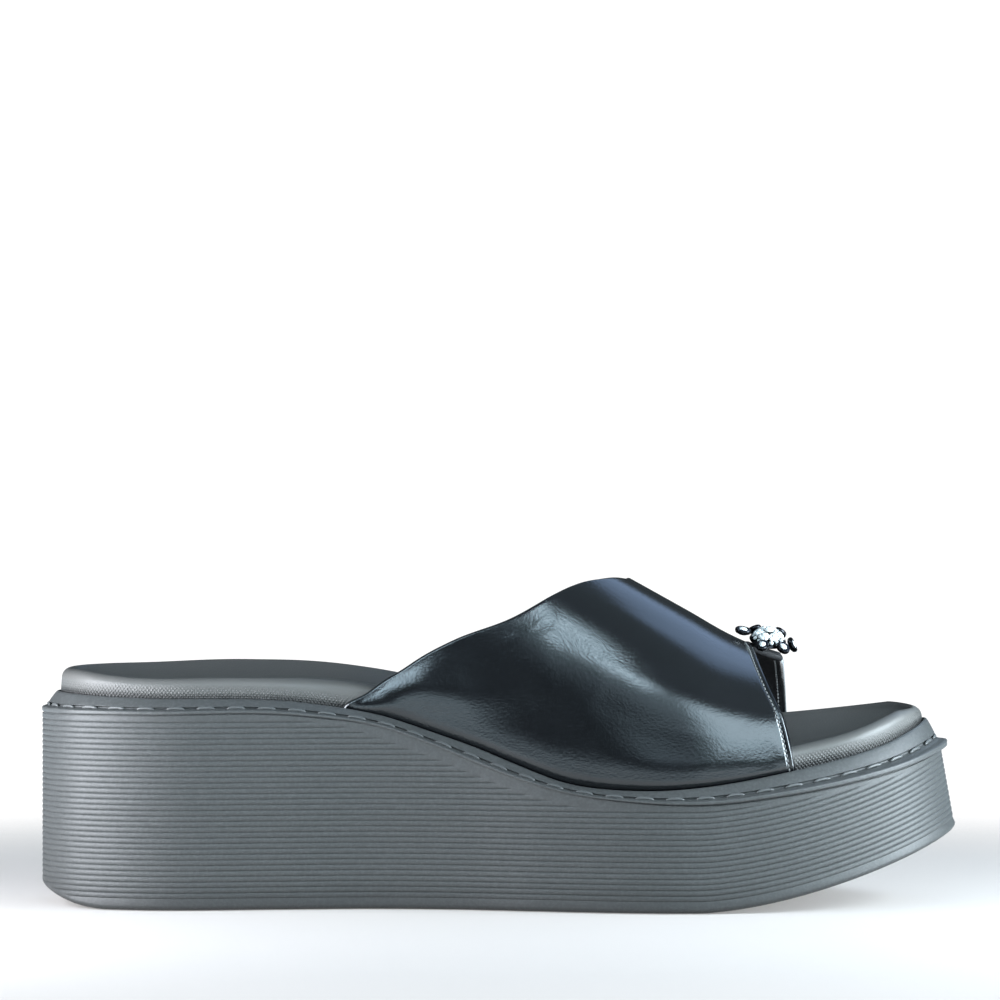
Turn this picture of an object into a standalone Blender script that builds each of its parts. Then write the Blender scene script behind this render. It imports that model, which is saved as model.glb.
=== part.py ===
"""Platform mule for the right foot: ribbed wedge sole, welt, padded footbed, polished
one-piece upper and a jewelled flower at the toe opening.

+Z is up, the toe points to +X and the medial (big toe) side lies on +Y. Sizes are in
millimetres and become metres where a mesh is made. A station is a distance along the sole
from the back of the heel. The origin is on the floor, under the middle of the whole shoe.
"""

import math

import bmesh
import bpy
import numpy as np
from mathutils import Matrix, Vector

MM = 0.001
GAP = 0.3

# Sole: overall form
SOLE_LENGTH = 256.0
TOE_SPRING = 20.2
TOE_SPRING_START = 182.0
TOE_SPRING_POWER = 1.6
HEEL_BEVEL_HEIGHT = 5.0
HEEL_BEVEL_LENGTH = 20.0
BOTTOM_EDGE = 1.4

# Sole: ribbed wall
RIB_PITCH = 1.5
RIB_DEPTH = 0.4
PLAIN_BAND = 3.2
PLAIN_RIM = 0.9
HEEL_RIB_COUNT = 34

# Plan outline of the sole: station, then the reach to each side of the heel's axis
OUTLINE = (
    # station, lateral, medial
    (0.0, 0.0, 0.0),
    (14.0, 26.0, 26.0),
    (37.0, 32.5, 32.5),
    (66.0, 29.8, 31.0),
    (94.0, 27.4, 28.6),
    (118.0, 30.0, 31.2),
    (142.0, 36.0, 38.0),
    (171.0, 41.5, 44.6),
    (198.0, 39.8, 45.0),
    (222.0, 33.6, 41.0),
    (240.0, 24.0, 33.4),
    (250.0, 13.4, 24.4),
    (256.0, -6.0, 6.0),
)

# Side profile of the sole: height of the wall, height of the welt on it, lean of the wall
PROFILE = (
    # station, rim, welt, lean
    (0.0, 52.6, 6.2, 0.0),
    (30.0, 52.9, 4.8, 0.0),
    (75.0, 52.5, 3.8, 0.3),
    (95.0, 49.6, 3.2, 0.6),
    (110.0, 44.4, 3.4, 0.8),
    (120.0, 40.3, 3.9, 0.9),
    (130.0, 36.5, 3.5, 1.0),
    (145.0, 32.3, 2.4, 1.2),
    (165.0, 29.7, 3.1, 1.5),
    (185.0, 29.0, 4.9, 1.8),
    (205.0, 31.0, 6.1, 2.2),
    (225.0, 34.2, 7.0, 2.8),
    (242.0, 38.0, 7.7, 3.4),
    (256.0, 42.4, 8.4, 3.9),
)

# Welt section: outward reach from the footbed's edge and share of the welt's height
FOOTBED_INSET = 5.4
LIP_OVERHANG_BASE = 0.1
LIP_OVERHANG_PER_LEAN = 0.4
WELT_SECTION = (
    # reach, height
    (0.3, 0.95),
    (0.9, 1.00),
    (2.0, 0.82),
    (3.2, 0.53),
    (4.0, 0.42),
    (4.9, 0.40),
)
LIP_CREST = 0.20
LIP_UNDERCUT = 0.5

# Footbed: height above the floor of its two rims and of the middle between them
FOOTBED_SECTIONS = (
    # station, lateral rim, middle, medial rim
    (5.0, 64.8, 64.2, 65.8),
    (25.0, 63.2, 61.6, 65.8),
    (57.0, 63.2, 61.2, 66.6),
    (85.0, 62.3, 60.2, 65.4),
    (110.0, 57.2, 54.8, 60.4),
    (140.0, 48.0, 46.0, 51.4),
    (170.0, 42.8, 41.4, 47.4),
    (200.0, 43.0, 42.2, 50.0),
    (225.0, 47.0, 46.0, 52.4),
    (247.0, 53.2, 52.8, 55.0),
)
FOOTBED_SHOULDER = 2.8
SLOT_LEAD = 8.0
SLOT_RAMP = 4.0

# Upper: ridge line over the foot and the shape of a girth, from the welt to the ridge
UPPER_WALL = 2.0
TUCK_SHARE = 0.06
TUCK_CLEARANCE = 0.6
RIDGE_SIDE = 2.5
RIDGE = (
    # station, height
    (80.0, 134.0),
    (120.0, 114.4),
    (150.0, 98.2),
    (164.5, 90.2),
    (181.0, 81.0),
    (193.0, 74.2),
    (201.0, 70.8),
    (208.0, 68.8),
    (216.0, 66.6),
)
GIRTH = (
    # share, reach, rise
    (0.06, 1.00, 0.00),
    (0.085, 1.018, 0.045),
    (0.11, 1.028, 0.095),
    (0.14, 1.03, 0.16),
    (0.22, 1.005, 0.335),
    (0.31, 0.905, 0.57),
    (0.40, 0.64, 0.83),
    (0.46, 0.31, 0.965),
    (0.50, 0.00, 1.00),
)
LATERAL_EDGES = (
    # share, collar station, toe opening station
    (0.00, 84.4, 211.4),
    (0.06, 85.4, 211.2),
    (0.115, 93.0, 210.6),
    (0.163, 100.2, 210.0),
    (0.20, 106.2, 209.4),
    (0.24, 114.0, 208.6),
    (0.30, 127.0, 206.8),
    (0.37, 141.0, 203.2),
    (0.412, 149.2, 201.3),
    (0.45, 157.8, 200.0),
    (0.48, 162.8, 199.2),
    (0.50, 163.6, 198.7),
)
MEDIAL_EDGES = (
    # share, collar station, toe opening station
    (0.50, 163.6, 207.4),
    (0.52, 162.8, 208.2),
    (0.55, 158.4, 209.2),
    (0.588, 150.8, 210.1),
    (0.63, 143.2, 210.9),
    (0.70, 130.2, 211.8),
    (0.76, 118.4, 212.3),
    (0.80, 110.8, 212.7),
    (0.837, 105.0, 213.1),
    (0.885, 98.0, 213.6),
    (0.94, 91.2, 214.1),
    (1.00, 90.2, 214.3),
)

# Ornament: a flower of set stones on a short foot, on the ridge at the toe opening
ORNAMENT_STATION = 203.2
ORNAMENT_SIDE = 3.4
ORNAMENT_BASE_HEIGHT = 72.2
ORNAMENT_TILT_DEG = 7.0
ORNAMENT_LEAN_DEG = 24.0
SETTING_PROFILE = (
    # radius, height
    (0.0, -1.1),
    (2.4, -1.1),
    (2.6, -0.4),
    (4.6, 0.0),
    (5.2, 0.5),
    (5.0, 0.9),
    (3.5, 1.9),
    (0.0, 1.9),
)
PETALS = (
    # angle from the toe, droop of the outer end
    (0.0, 58.0),
    (60.0, 50.0),
    (120.0, 48.0),
    (180.0, -3.0),
    (256.0, 8.0),
    (303.0, 16.0),
)
PETAL_INNER_RADIUS = 5.0
PETAL_RISE = 1.4
PETAL_LENGTH = 4.6
PETAL_WIDTH = 3.6
BEAD_COUNT = 6
BEAD_SIZE = 2.2
BEAD_ORBIT = 2.6
BEAD_RISE = 2.2
CROWN_SIZE = 2.8
CROWN_RISE = 3.1
STONE_SECTION = (
    # radius as a share of the stone's length or width, height as a share of its width
    (0.0, 0.0),
    (0.3, 0.0),
    (0.5, 0.22),
    (0.5, 0.30),
    (0.32, 0.5),
    (0.0, 0.5),
)

# Facets
HALF_COLUMNS = 32
END_DENSITY = 0.2
OUTLINE_SAMPLES = 720
UPPER_ROWS = 18
UPPER_COLUMNS = 26
OPENING_STEP_SHARE = 0.512
SHOULDER_TURNS_DEG = (30, 60)
FOOTBED_ROWS = (0.3, 0.65, 1.0)
RING_SIDES = 16
STONE_SIDES = 8
STONE_EDGE_DEG = 20.0
NORMAL_STEP = 0.2
NORMAL_GIRTH_STEP = 0.004
MERGE_DISTANCE = 1e-6


def column_of(table, index):
    return np.array([row[index] for row in table], float)


def smooth_through(nodes, values, at):
    """A cubic through the rows of a table, whose slope at a row comes from its neighbours."""
    at = np.clip(np.asarray(at, float), nodes[0], nodes[-1])
    slopes = np.gradient(values, nodes)
    row = np.clip(np.searchsorted(nodes, at, side="right") - 1, 0, len(nodes) - 2)
    span = nodes[row + 1] - nodes[row]
    t = (at - nodes[row]) / span
    rise = (1 + 2 * t) * (1 - t) ** 2 * values[row] + t * t * (3 - 2 * t) * values[row + 1]
    return rise + span * t * (1 - t) * ((1 - t) * slopes[row] - t * slopes[row + 1])


def table_value(table, index, at):
    return smooth_through(column_of(table, 0), column_of(table, index), at)


def smooth_step(low, high, at):
    t = np.clip((at - low) / (high - low), 0, 1)
    return t * t * (3 - 2 * t)


def outline_points(angles):
    """Plan points of the sole's widest line; an angle runs from the heel over the lateral side."""
    stations = column_of(OUTLINE, 0)
    row_angles = np.arccos(1 - 2 * stations / SOLE_LENGTH)
    nodes = np.concatenate([row_angles, 2 * math.pi - row_angles[-2:0:-1]])
    sides = np.concatenate([-column_of(OUTLINE, 1), column_of(OUTLINE, 2)[-2:0:-1]])
    turns = np.concatenate([nodes - 2 * math.pi, nodes, nodes + 2 * math.pi])
    across = smooth_through(turns, np.tile(sides, 3), angles)
    return np.column_stack([SOLE_LENGTH / 2 * (1 - np.cos(angles)), across])


def outline_normals(angles):
    """Outward unit normals of the outline, from a short chord on each side of a point."""
    step = 2 * math.pi / OUTLINE_SAMPLES
    along = outline_points(angles + step) - outline_points(angles - step)
    outward = np.column_stack([along[:, 1], -along[:, 0]])
    return outward / np.linalg.norm(outward, axis=1, keepdims=True)


def column_angles():
    """Angles of the mesh columns, a little closer along the sides than at the two ends."""
    even = np.linspace(0, 2 * math.pi, 2 * HALF_COLUMNS, endpoint=False)
    return even + END_DENSITY * np.sin(2 * even)


ANGLES = column_angles()
EDGE = outline_points(ANGLES)
NORMAL = outline_normals(ANGLES)
STATION = EDGE[:, 0]
RIM = table_value(PROFILE, 1, STATION)
WELT = table_value(PROFILE, 2, STATION)
LEAN = table_value(PROFILE, 3, STATION)
ORIGIN = np.array([SOLE_LENGTH / 2, (EDGE[:, 1].max() + EDGE[:, 1].min()) / 2, 0.0])


def toe_spring(station):
    share = np.clip((station - TOE_SPRING_START) / (SOLE_LENGTH - TOE_SPRING_START), 0, 1)
    return TOE_SPRING * share**TOE_SPRING_POWER


def bottom_height(station):
    """Underside of the sole: flat, with a bevel at the heel and a spring at the toe."""
    bevel = np.clip(1 - station / HEEL_BEVEL_LENGTH, 0, 1)
    return HEEL_BEVEL_HEIGHT * bevel**2 + toe_spring(station)


def ring(plan_offset, height):
    """One ring of points round the sole, moved outwards by plan_offset."""
    plan = EDGE + NORMAL * np.broadcast_to(plan_offset, STATION.shape)[:, None]
    return np.column_stack([plan, np.broadcast_to(height, STATION.shape)])


def wall_ring(height, depth=0.0):
    """A ring on the leaning wall of the sole at the given heights, sunk in by depth."""
    bottom = bottom_height(STATION)
    share = (height - bottom) / (RIM - bottom)
    return ring(-LEAN * share - depth, height)


def rim_ring(reach, height):
    """A ring near the top of the wall: reach is counted outwards from the footbed's edge."""
    return ring(reach - FOOTBED_INSET - LEAN, height)


def tube_faces(ring_count, closed_section=False):
    """Quads between successive rings of points, and from the last to the first if closed."""
    sides = 2 * HALF_COLUMNS
    last = ring_count if closed_section else ring_count - 1
    return [
        (
            row * sides + here,
            row * sides + (here + 1) % sides,
            (row + 1) % ring_count * sides + (here + 1) % sides,
            (row + 1) % ring_count * sides + here,
        )
        for row in range(last)
        for here in range(sides)
    ]


def cap_faces(first, flip):
    """Strips across a ring, from each lateral column to the medial one at the same station."""
    sides = 2 * HALF_COLUMNS
    faces = []
    for here in range(HALF_COLUMNS):
        corners = [here, here + 1, (sides - here - 1) % sides, (sides - here) % sides]
        corners = [first + corner for corner in dict.fromkeys(corners)]
        faces.append(tuple(corners[::-1] if flip else corners))
    return faces


def make_material(name, colour, roughness, metallic=0.0):
    material = bpy.data.materials.new(name)
    material.use_nodes = True
    shader = material.node_tree.nodes["Principled BSDF"]
    shader.inputs["Base Color"].default_value = (*colour, 1.0)
    shader.inputs["Roughness"].default_value = roughness
    shader.inputs["Metallic"].default_value = metallic
    return material


def make_object(name, points, faces, material, smooth_angle_deg=40.0):
    """A mesh object from points in millimetres, with doubled points joined."""
    mesh = bpy.data.meshes.new(name)
    mesh.from_pydata(((np.asarray(points) - ORIGIN) * MM).tolist(), [], faces)
    merge_doubles(mesh)
    mesh.materials.append(material)
    mesh.shade_smooth()
    mesh.set_sharp_from_angle(angle=math.radians(smooth_angle_deg))
    obj = bpy.data.objects.new(name, mesh)
    bpy.context.scene.collection.objects.link(obj)
    return obj


def merge_doubles(mesh):
    """Joins points that lie together and turns every face outwards."""
    work = bmesh.new()
    work.from_mesh(mesh)
    bmesh.ops.remove_doubles(work, verts=work.verts, dist=MERGE_DISTANCE)
    bmesh.ops.dissolve_degenerate(work, edges=work.edges, dist=MERGE_DISTANCE / 10)
    bmesh.ops.recalc_face_normals(work, faces=work.faces)
    work.to_mesh(mesh)
    work.free()


def make_sole(material):
    """Wedge with a flat underside and ribs that stop at the plain rim under the welt."""
    bottom = bottom_height(STATION)
    lowest = bottom + BOTTOM_EDGE
    highest = RIM - PLAIN_RIM
    rings = [ring(-BOTTOM_EDGE, bottom), wall_ring(lowest)]
    for rib in range(HEEL_RIB_COUNT):
        for half, depth in ((0.0, RIB_DEPTH), (0.5, 0.0)):
            level = toe_spring(STATION) + PLAIN_BAND + (rib + half) * RIB_PITCH
            inside = (level > lowest) & (level < highest)
            rings.append(wall_ring(np.clip(level, lowest, highest), np.where(inside, depth, 0.0)))
    rings += [wall_ring(highest), wall_ring(RIM)]
    faces = tube_faces(len(rings))
    faces += cap_faces(0, flip=True)
    faces += cap_faces((len(rings) - 1) * 2 * HALF_COLUMNS, flip=False)
    return make_object("sole", np.concatenate(rings), faces, material)


def make_welt(material):
    """Ring on the rim: an inner ridge against the footbed, a stitch channel and a round lip."""
    lip = FOOTBED_INSET + LIP_OVERHANG_BASE + LIP_OVERHANG_PER_LEAN * LEAN
    foot = RIM + GAP
    rings = [rim_ring(WELT_SECTION[0][0], foot)]
    rings += [rim_ring(reach, RIM + share * WELT) for reach, share in WELT_SECTION]
    rings += [
        rim_ring(lip, RIM + LIP_CREST * WELT),
        rim_ring(lip - LIP_UNDERCUT / 2, foot + GAP),
        rim_ring(lip - LIP_UNDERCUT, foot),
    ]
    return make_object("welt", np.concatenate(rings), tube_faces(len(rings), True), material)


def slot_width(station, medial):
    """Room that the upper's lasted edge takes between the welt and the footbed."""
    first = np.where(medial, MEDIAL_EDGES[-1][1], LATERAL_EDGES[0][1])
    last = np.where(medial, MEDIAL_EDGES[-1][2], LATERAL_EDGES[0][2])
    opening = smooth_step(first - SLOT_LEAD - SLOT_RAMP, first - SLOT_LEAD, station)
    closing = 1 - smooth_step(last + SLOT_LEAD, last + SLOT_LEAD + SLOT_RAMP, station)
    return (UPPER_WALL + GAP) * opening * closing


def footbed_height(station, inward):
    """Top of the footbed, from its rim (inward 0) to the line along its middle (inward 1)."""
    lateral, middle, medial = (table_value(FOOTBED_SECTIONS, i, station) for i in (1, 2, 3))
    rim = lateral + (medial - lateral) * (1 + NORMAL[:, 1]) / 2
    return middle + (rim - middle) * (1 - inward) ** 2


def make_footbed(material):
    """Padded insole with upright sides, a round shoulder and a dished, arched top."""
    edge = -slot_width(STATION, NORMAL[:, 1] > 0)
    rim_top = footbed_height(STATION, 0.0)
    floor = RIM + GAP
    rings = [rim_ring(edge, floor), rim_ring(edge, rim_top - FOOTBED_SHOULDER)]
    for turn in SHOULDER_TURNS_DEG:
        angle = math.radians(turn)
        inward = FOOTBED_SHOULDER * (1 - math.cos(angle))
        drop = FOOTBED_SHOULDER * (1 - math.sin(angle))
        rings.append(rim_ring(edge - inward, rim_top - drop))
    shoulder = rim_ring(edge - FOOTBED_SHOULDER, rim_top)
    rings.append(shoulder)
    mirror = (-np.arange(2 * HALF_COLUMNS)) % (2 * HALF_COLUMNS)
    spine = (shoulder + shoulder[mirror]) / 2
    for inward in FOOTBED_ROWS:
        plan = shoulder + (spine - shoulder) * inward
        plan[:, 2] = footbed_height(plan[:, 0], inward)
        rings.append(plan)
    faces = tube_faces(len(rings)) + cap_faces(0, flip=True)
    return make_object("footbed", np.concatenate(rings), faces, material)


def tuck_line(station, medial):
    """Plan points of the footbed's edge, one for each station, where the upper goes down."""
    share = np.arccos(1 - 2 * np.clip(station, 0, SOLE_LENGTH) / SOLE_LENGTH)
    angle = np.where(medial, 2 * math.pi - share, share)
    inset = FOOTBED_INSET + table_value(PROFILE, 3, station)
    return outline_points(angle) - outline_normals(angle) * inset[:, None]


def upper_surface(station, girth):
    """Outer face of the upper: a girth runs from 0 at the lateral welt to 1 at the medial."""
    medial = girth > 0.5
    share = np.where(medial, 1 - girth, girth)
    rim = table_value(PROFILE, 1, station)
    welt_top = rim + table_value(PROFILE, 2, station) + TUCK_CLEARANCE
    reach = table_value(GIRTH, 1, share)
    rise = table_value(GIRTH, 2, share)
    tucked = rim + GAP + (welt_top - rim - GAP) * share / TUCK_SHARE
    risen = welt_top + (table_value(RIDGE, 1, station) - welt_top) * rise
    tuck = tuck_line(station, medial)
    along = station + (tuck[:, 0] - station) * np.minimum(reach, 1)
    across = RIDGE_SIDE + (tuck[:, 1] - RIDGE_SIDE) * reach
    return np.column_stack([along, across, np.where(share < TUCK_SHARE, tucked, risen)])


def upper_normals(station, girth):
    """Outward unit normals of the upper, from small steps along the foot and round it."""
    behind, ahead = station - NORMAL_STEP, station + NORMAL_STEP
    along = upper_surface(ahead, girth) - upper_surface(behind, girth)
    low = np.clip(girth - NORMAL_GIRTH_STEP, 0, 1)
    high = np.clip(girth + NORMAL_GIRTH_STEP, 0, 1)
    around = upper_surface(station, high) - upper_surface(station, low)
    outward = np.cross(along, around)
    return outward / np.linalg.norm(outward, axis=1, keepdims=True)


def girth_columns():
    """Girth values of the mesh columns, with two at the ridge for the step in the opening."""
    half = np.concatenate([[0.0], np.linspace(TUCK_SHARE, 0.5, UPPER_COLUMNS // 2)])
    return np.concatenate([half, [OPENING_STEP_SHARE], 1 - half[-2::-1]])


def make_upper(material):
    """One leather wall from welt to welt, cut by the collar and by the toe opening."""
    girths = girth_columns()
    lateral = girths <= 0.5
    collar, opening = (
        np.where(
            lateral,
            table_value(LATERAL_EDGES, index, girths),
            table_value(MEDIAL_EDGES, index, girths),
        )
        for index in (1, 2)
    )
    shares = np.linspace(0, 1, UPPER_ROWS + 1)
    station = (collar + (opening - collar) * shares[:, None]).ravel()
    girth = np.tile(girths, len(shares))
    outer = upper_surface(station, girth)
    inner = outer - UPPER_WALL * upper_normals(station, girth)
    count, width = len(outer), len(girths)
    faces = []
    for row in range(UPPER_ROWS):
        for here in range(row * width, row * width + width - 1):
            quad = (here, here + 1, here + width + 1, here + width)
            faces += [quad, tuple(count + corner for corner in quad[::-1])]
    border = [*range(width)]
    border += [(row + 1) * width - 1 for row in range(1, UPPER_ROWS + 1)]
    border += [*range(count - 2, count - width - 1, -1)]
    border += [row * width for row in range(UPPER_ROWS - 1, 0, -1)]
    for here, after in zip(border, border[1:] + border[:1]):
        faces.append((after, here, count + here, count + after))
    return make_object("upper", np.concatenate([outer, inner]), faces, material)


def turned(profile, sides):
    """Points and faces of a profile turned about Z, from the axis round to the axis again."""
    angles = np.linspace(0, 2 * math.pi, sides, endpoint=False)
    points = [(r * math.cos(a), r * math.sin(a), z) for r, z in profile for a in angles]
    faces = []
    for first in range(0, (len(profile) - 1) * sides, sides):
        for i in range(sides):
            after = (i + 1) % sides
            faces.append((first + i, first + after, first + sides + after, first + sides + i))
    return np.array(points), faces


def cut_stone(length, width):
    """A cut stone: blunt foot, sloping pavilion, girdle, sloping crown and flat table."""
    points, faces = turned(STONE_SECTION, STONE_SIDES)
    return points * (length, width, width), faces


def ornament_place():
    """Matrix, in millimetres, from the flower's own axes to the shoe's."""
    place = Vector((ORNAMENT_STATION, ORNAMENT_SIDE, ORNAMENT_BASE_HEIGHT))
    tilt = Matrix.Rotation(math.radians(ORNAMENT_TILT_DEG), 4, "Y")
    lean = Matrix.Rotation(math.radians(ORNAMENT_LEAN_DEG), 4, "X")
    return Matrix.Translation(place) @ tilt @ lean


def placed(points, matrix):
    matrix = np.array(matrix)
    return points @ matrix[:3, :3].T + matrix[:3, 3]


def make_ornament(metal, stone):
    """Setting with petals round a small cluster, each stone a little clear of its seat."""
    base = ornament_place()
    points, faces = turned(SETTING_PROFILE, RING_SIDES)
    make_object("ornament_setting", placed(points, base), faces, metal)
    for number, (angle, droop) in enumerate(PETALS):
        spin = Matrix.Rotation(math.radians(angle), 4, "Z")
        root = Matrix.Translation(Vector((PETAL_INNER_RADIUS, 0, PETAL_RISE)))
        bend = Matrix.Rotation(math.radians(droop), 4, "Y")
        middle = Matrix.Translation(Vector((PETAL_LENGTH / 2, 0, 0)))
        seat = base @ spin @ root @ bend @ middle
        points, faces = cut_stone(PETAL_LENGTH, PETAL_WIDTH)
        make_object(f"ornament_petal_{number + 1}", placed(points, seat), faces, stone, STONE_EDGE_DEG)
    for number in range(BEAD_COUNT):
        spin = Matrix.Rotation(2 * math.pi * number / BEAD_COUNT, 4, "Z")
        seat = base @ spin @ Matrix.Translation(Vector((BEAD_ORBIT, 0, BEAD_RISE)))
        points, faces = cut_stone(BEAD_SIZE, BEAD_SIZE)
        make_object(f"ornament_bead_{number + 1}", placed(points, seat), faces, stone, STONE_EDGE_DEG)
    seat = base @ Matrix.Translation(Vector((0, 0, CROWN_RISE)))
    points, faces = cut_stone(CROWN_SIZE, CROWN_SIZE)
    make_object("ornament_crown", placed(points, seat), faces, stone, STONE_EDGE_DEG)


def main():
    for obj in list(bpy.data.objects):
        bpy.data.objects.remove(obj)
    rubber = make_material("sole_rubber", (0.045, 0.044, 0.046), 0.6)
    leather = make_material("polished_leather", (0.008, 0.008, 0.010), 0.25)
    cover = make_material("footbed_cover", (0.055, 0.048, 0.046), 0.6)
    metal = make_material("dark_metal", (0.05, 0.05, 0.055), 0.3, 1.0)
    stone = make_material("clear_stone", (0.85, 0.87, 0.88), 0.05)
    make_sole(rubber)
    make_welt(rubber)
    make_footbed(cover)
    make_upper(leather)
    make_ornament(metal, stone)


main()
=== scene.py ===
"""Looks of the platform mule: fine surfaces, finishes and a pale studio, built round the CAD frame.

Sizes in the tables are millimetres, as in the CAD source, and become metres where a mesh is made.
A station is a distance along the sole from the back of the heel. A girth runs from 0, at the welt
on the lateral side, over the ridge at 0.5 to 1, at the welt on the medial side.
"""

import math
from functools import partial
from typing import NamedTuple

import bmesh
import bpy
import numpy as np
from bpy.props import FloatProperty, FloatVectorProperty, PointerProperty
from mathutils import Matrix, Vector


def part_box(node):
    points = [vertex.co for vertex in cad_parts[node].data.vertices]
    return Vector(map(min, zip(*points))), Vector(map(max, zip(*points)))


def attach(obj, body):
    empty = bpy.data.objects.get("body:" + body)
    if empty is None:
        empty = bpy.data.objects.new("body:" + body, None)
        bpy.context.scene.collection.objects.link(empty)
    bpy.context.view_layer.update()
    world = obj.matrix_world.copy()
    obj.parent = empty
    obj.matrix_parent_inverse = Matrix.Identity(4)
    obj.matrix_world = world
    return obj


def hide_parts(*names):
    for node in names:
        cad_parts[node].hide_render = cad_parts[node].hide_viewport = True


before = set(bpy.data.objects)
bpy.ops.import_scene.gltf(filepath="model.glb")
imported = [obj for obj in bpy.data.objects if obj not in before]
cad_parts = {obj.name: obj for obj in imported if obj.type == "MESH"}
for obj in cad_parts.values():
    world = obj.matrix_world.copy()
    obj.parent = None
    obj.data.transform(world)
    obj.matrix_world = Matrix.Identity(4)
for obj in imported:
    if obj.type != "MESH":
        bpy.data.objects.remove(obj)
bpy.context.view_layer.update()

bl_info = {
    "name": "Platform mule",
    "version": (1, 0, 0),
    "blender": (4, 5, 0),
    "location": "3D View > Sidebar > Mule",
    "description": "Builds the surfaces and finishes of a platform mule round its CAD frame",
    "category": "Add Mesh",
}

MM = 0.001
MERGE_DISTANCE = 1e-7

# The shoe's own form, as in the CAD source. Only the upper's lower rows differ, where it tucks in
# further, and the slot for it beside the footbed, which opens more slowly.
GAP = 0.3
SOLE_LENGTH = round(-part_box("sole")[0].x / MM * 2, 1)
# Middle of the outline's width; the frame's origin is there, at the middle of the sole's length
ORIGIN_SIDE = 1.87373
ORIGIN = np.array([SOLE_LENGTH / 2, ORIGIN_SIDE, 0.0])
TOE_SPRING = 20.2
TOE_SPRING_START = 182.0
TOE_SPRING_POWER = 1.6
HEEL_BEVEL_HEIGHT = 5.0
HEEL_BEVEL_LENGTH = 20.0
BOTTOM_EDGE = 1.4
PLAIN_BAND = 3.2
PLAIN_RIM = 0.9
END_DENSITY = 0.2
OUTLINE_SAMPLES = 720
OUTLINE = (
    # station, lateral, medial
    (0.0, 0.0, 0.0),
    (14.0, 26.0, 26.0),
    (37.0, 32.5, 32.5),
    (66.0, 29.8, 31.0),
    (94.0, 27.4, 28.6),
    (118.0, 30.0, 31.2),
    (142.0, 36.0, 38.0),
    (171.0, 41.5, 44.6),
    (198.0, 39.8, 45.0),
    (222.0, 33.6, 41.0),
    (240.0, 24.0, 33.4),
    (250.0, 13.4, 24.4),
    (256.0, -6.0, 6.0),
)
PROFILE = (
    # station, rim, welt, lean
    (0.0, 52.6, 6.2, 0.0),
    (30.0, 52.9, 4.8, 0.0),
    (75.0, 52.5, 3.8, 0.3),
    (95.0, 49.6, 3.2, 0.6),
    (110.0, 44.4, 3.4, 0.8),
    (120.0, 40.3, 3.9, 0.9),
    (130.0, 36.5, 3.5, 1.0),
    (145.0, 32.3, 2.4, 1.2),
    (165.0, 29.7, 3.1, 1.5),
    (185.0, 29.0, 4.9, 1.8),
    (205.0, 31.0, 6.1, 2.2),
    (225.0, 34.2, 7.0, 2.8),
    (242.0, 38.0, 7.7, 3.4),
    (256.0, 42.4, 8.4, 3.9),
)
FOOTBED_INSET = 5.4
FOOTBED_SECTIONS = (
    # station, lateral rim, middle, medial rim
    (5.0, 64.8, 64.2, 65.8),
    (25.0, 63.2, 61.6, 65.8),
    (57.0, 63.2, 61.2, 66.6),
    (85.0, 62.3, 60.2, 65.4),
    (110.0, 57.2, 54.8, 60.4),
    (140.0, 48.0, 46.0, 51.4),
    (170.0, 42.8, 41.4, 47.4),
    (200.0, 43.0, 42.2, 50.0),
    (225.0, 47.0, 46.0, 52.4),
    (247.0, 53.2, 52.8, 55.0),
)
FOOTBED_SHOULDER = 2.8
SLOT_LEAD = 0.3
SLOT_RAMP = 22.0
TUCK_SHARE = 0.06
TUCK_CLEARANCE = -0.3
RIDGE_SIDE = 2.5
RIDGE = (
    # station, height
    (80.0, 134.0),
    (120.0, 114.4),
    (150.0, 98.2),
    (164.5, 90.2),
    (181.0, 81.0),
    (193.0, 74.2),
    (201.0, 70.8),
    (208.0, 68.8),
    (216.0, 66.6),
)
GIRTH = (
    # share, reach, rise
    (0.06, 1.00, 0.00),
    (0.068, 1.015, 0.012),
    (0.078, 1.029, 0.029),
    (0.09, 1.036, 0.049),
    (0.105, 1.038, 0.076),
    (0.12, 1.0395, 0.108),
    (0.135, 1.0385, 0.14),
    (0.16, 1.033, 0.19),
    (0.19, 1.0215, 0.26),
    (0.22, 1.0045, 0.335),
    (0.31, 0.902, 0.57),
    (0.40, 0.64, 0.83),
    (0.46, 0.31, 0.965),
    (0.50, 0.00, 1.00),
)
LATERAL_EDGES = (
    # share, collar station, toe opening station
    (0.00, 84.4, 211.4),
    (0.06, 85.4, 211.2),
    (0.115, 93.0, 210.6),
    (0.163, 100.2, 210.0),
    (0.20, 106.2, 209.4),
    (0.24, 114.0, 208.6),
    (0.30, 127.0, 206.8),
    (0.37, 141.0, 203.2),
    (0.412, 149.2, 201.3),
    (0.45, 157.8, 200.0),
    (0.48, 162.8, 199.2),
    (0.50, 163.6, 198.7),
)
MEDIAL_EDGES = (
    # share, collar station, toe opening station
    (0.50, 163.6, 207.4),
    (0.52, 162.8, 208.2),
    (0.55, 158.4, 209.2),
    (0.588, 150.8, 210.1),
    (0.63, 143.2, 210.9),
    (0.70, 130.2, 211.8),
    (0.76, 118.4, 212.3),
    (0.80, 110.8, 212.7),
    (0.837, 105.0, 213.1),
    (0.885, 98.0, 213.6),
    (0.94, 91.2, 214.1),
    (1.00, 90.2, 214.3),
)

# Section of one rib, from one groove to the next: share of the pitch, share of the depth
RIB_SECTION = (
    # along, depth
    (0.00, 1.00),
    (0.10, 0.45),
    (0.25, 0.10),
    (0.50, 0.00),
    (0.75, 0.10),
    (0.90, 0.45),
)
HEEL_RIB_COUNT = 34
RIB_FADE = 0.5
# A plain band under the rim along the sloping waist: its height, where it comes and where it goes
SLOPE_BAND = 2.0
SLOPE_START = (78.0, 100.0)
SLOPE_END = (145.0, 168.0)
# A row of points this far under the rim keeps its edge crisp
RIM_SUPPORT = 0.25
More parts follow.
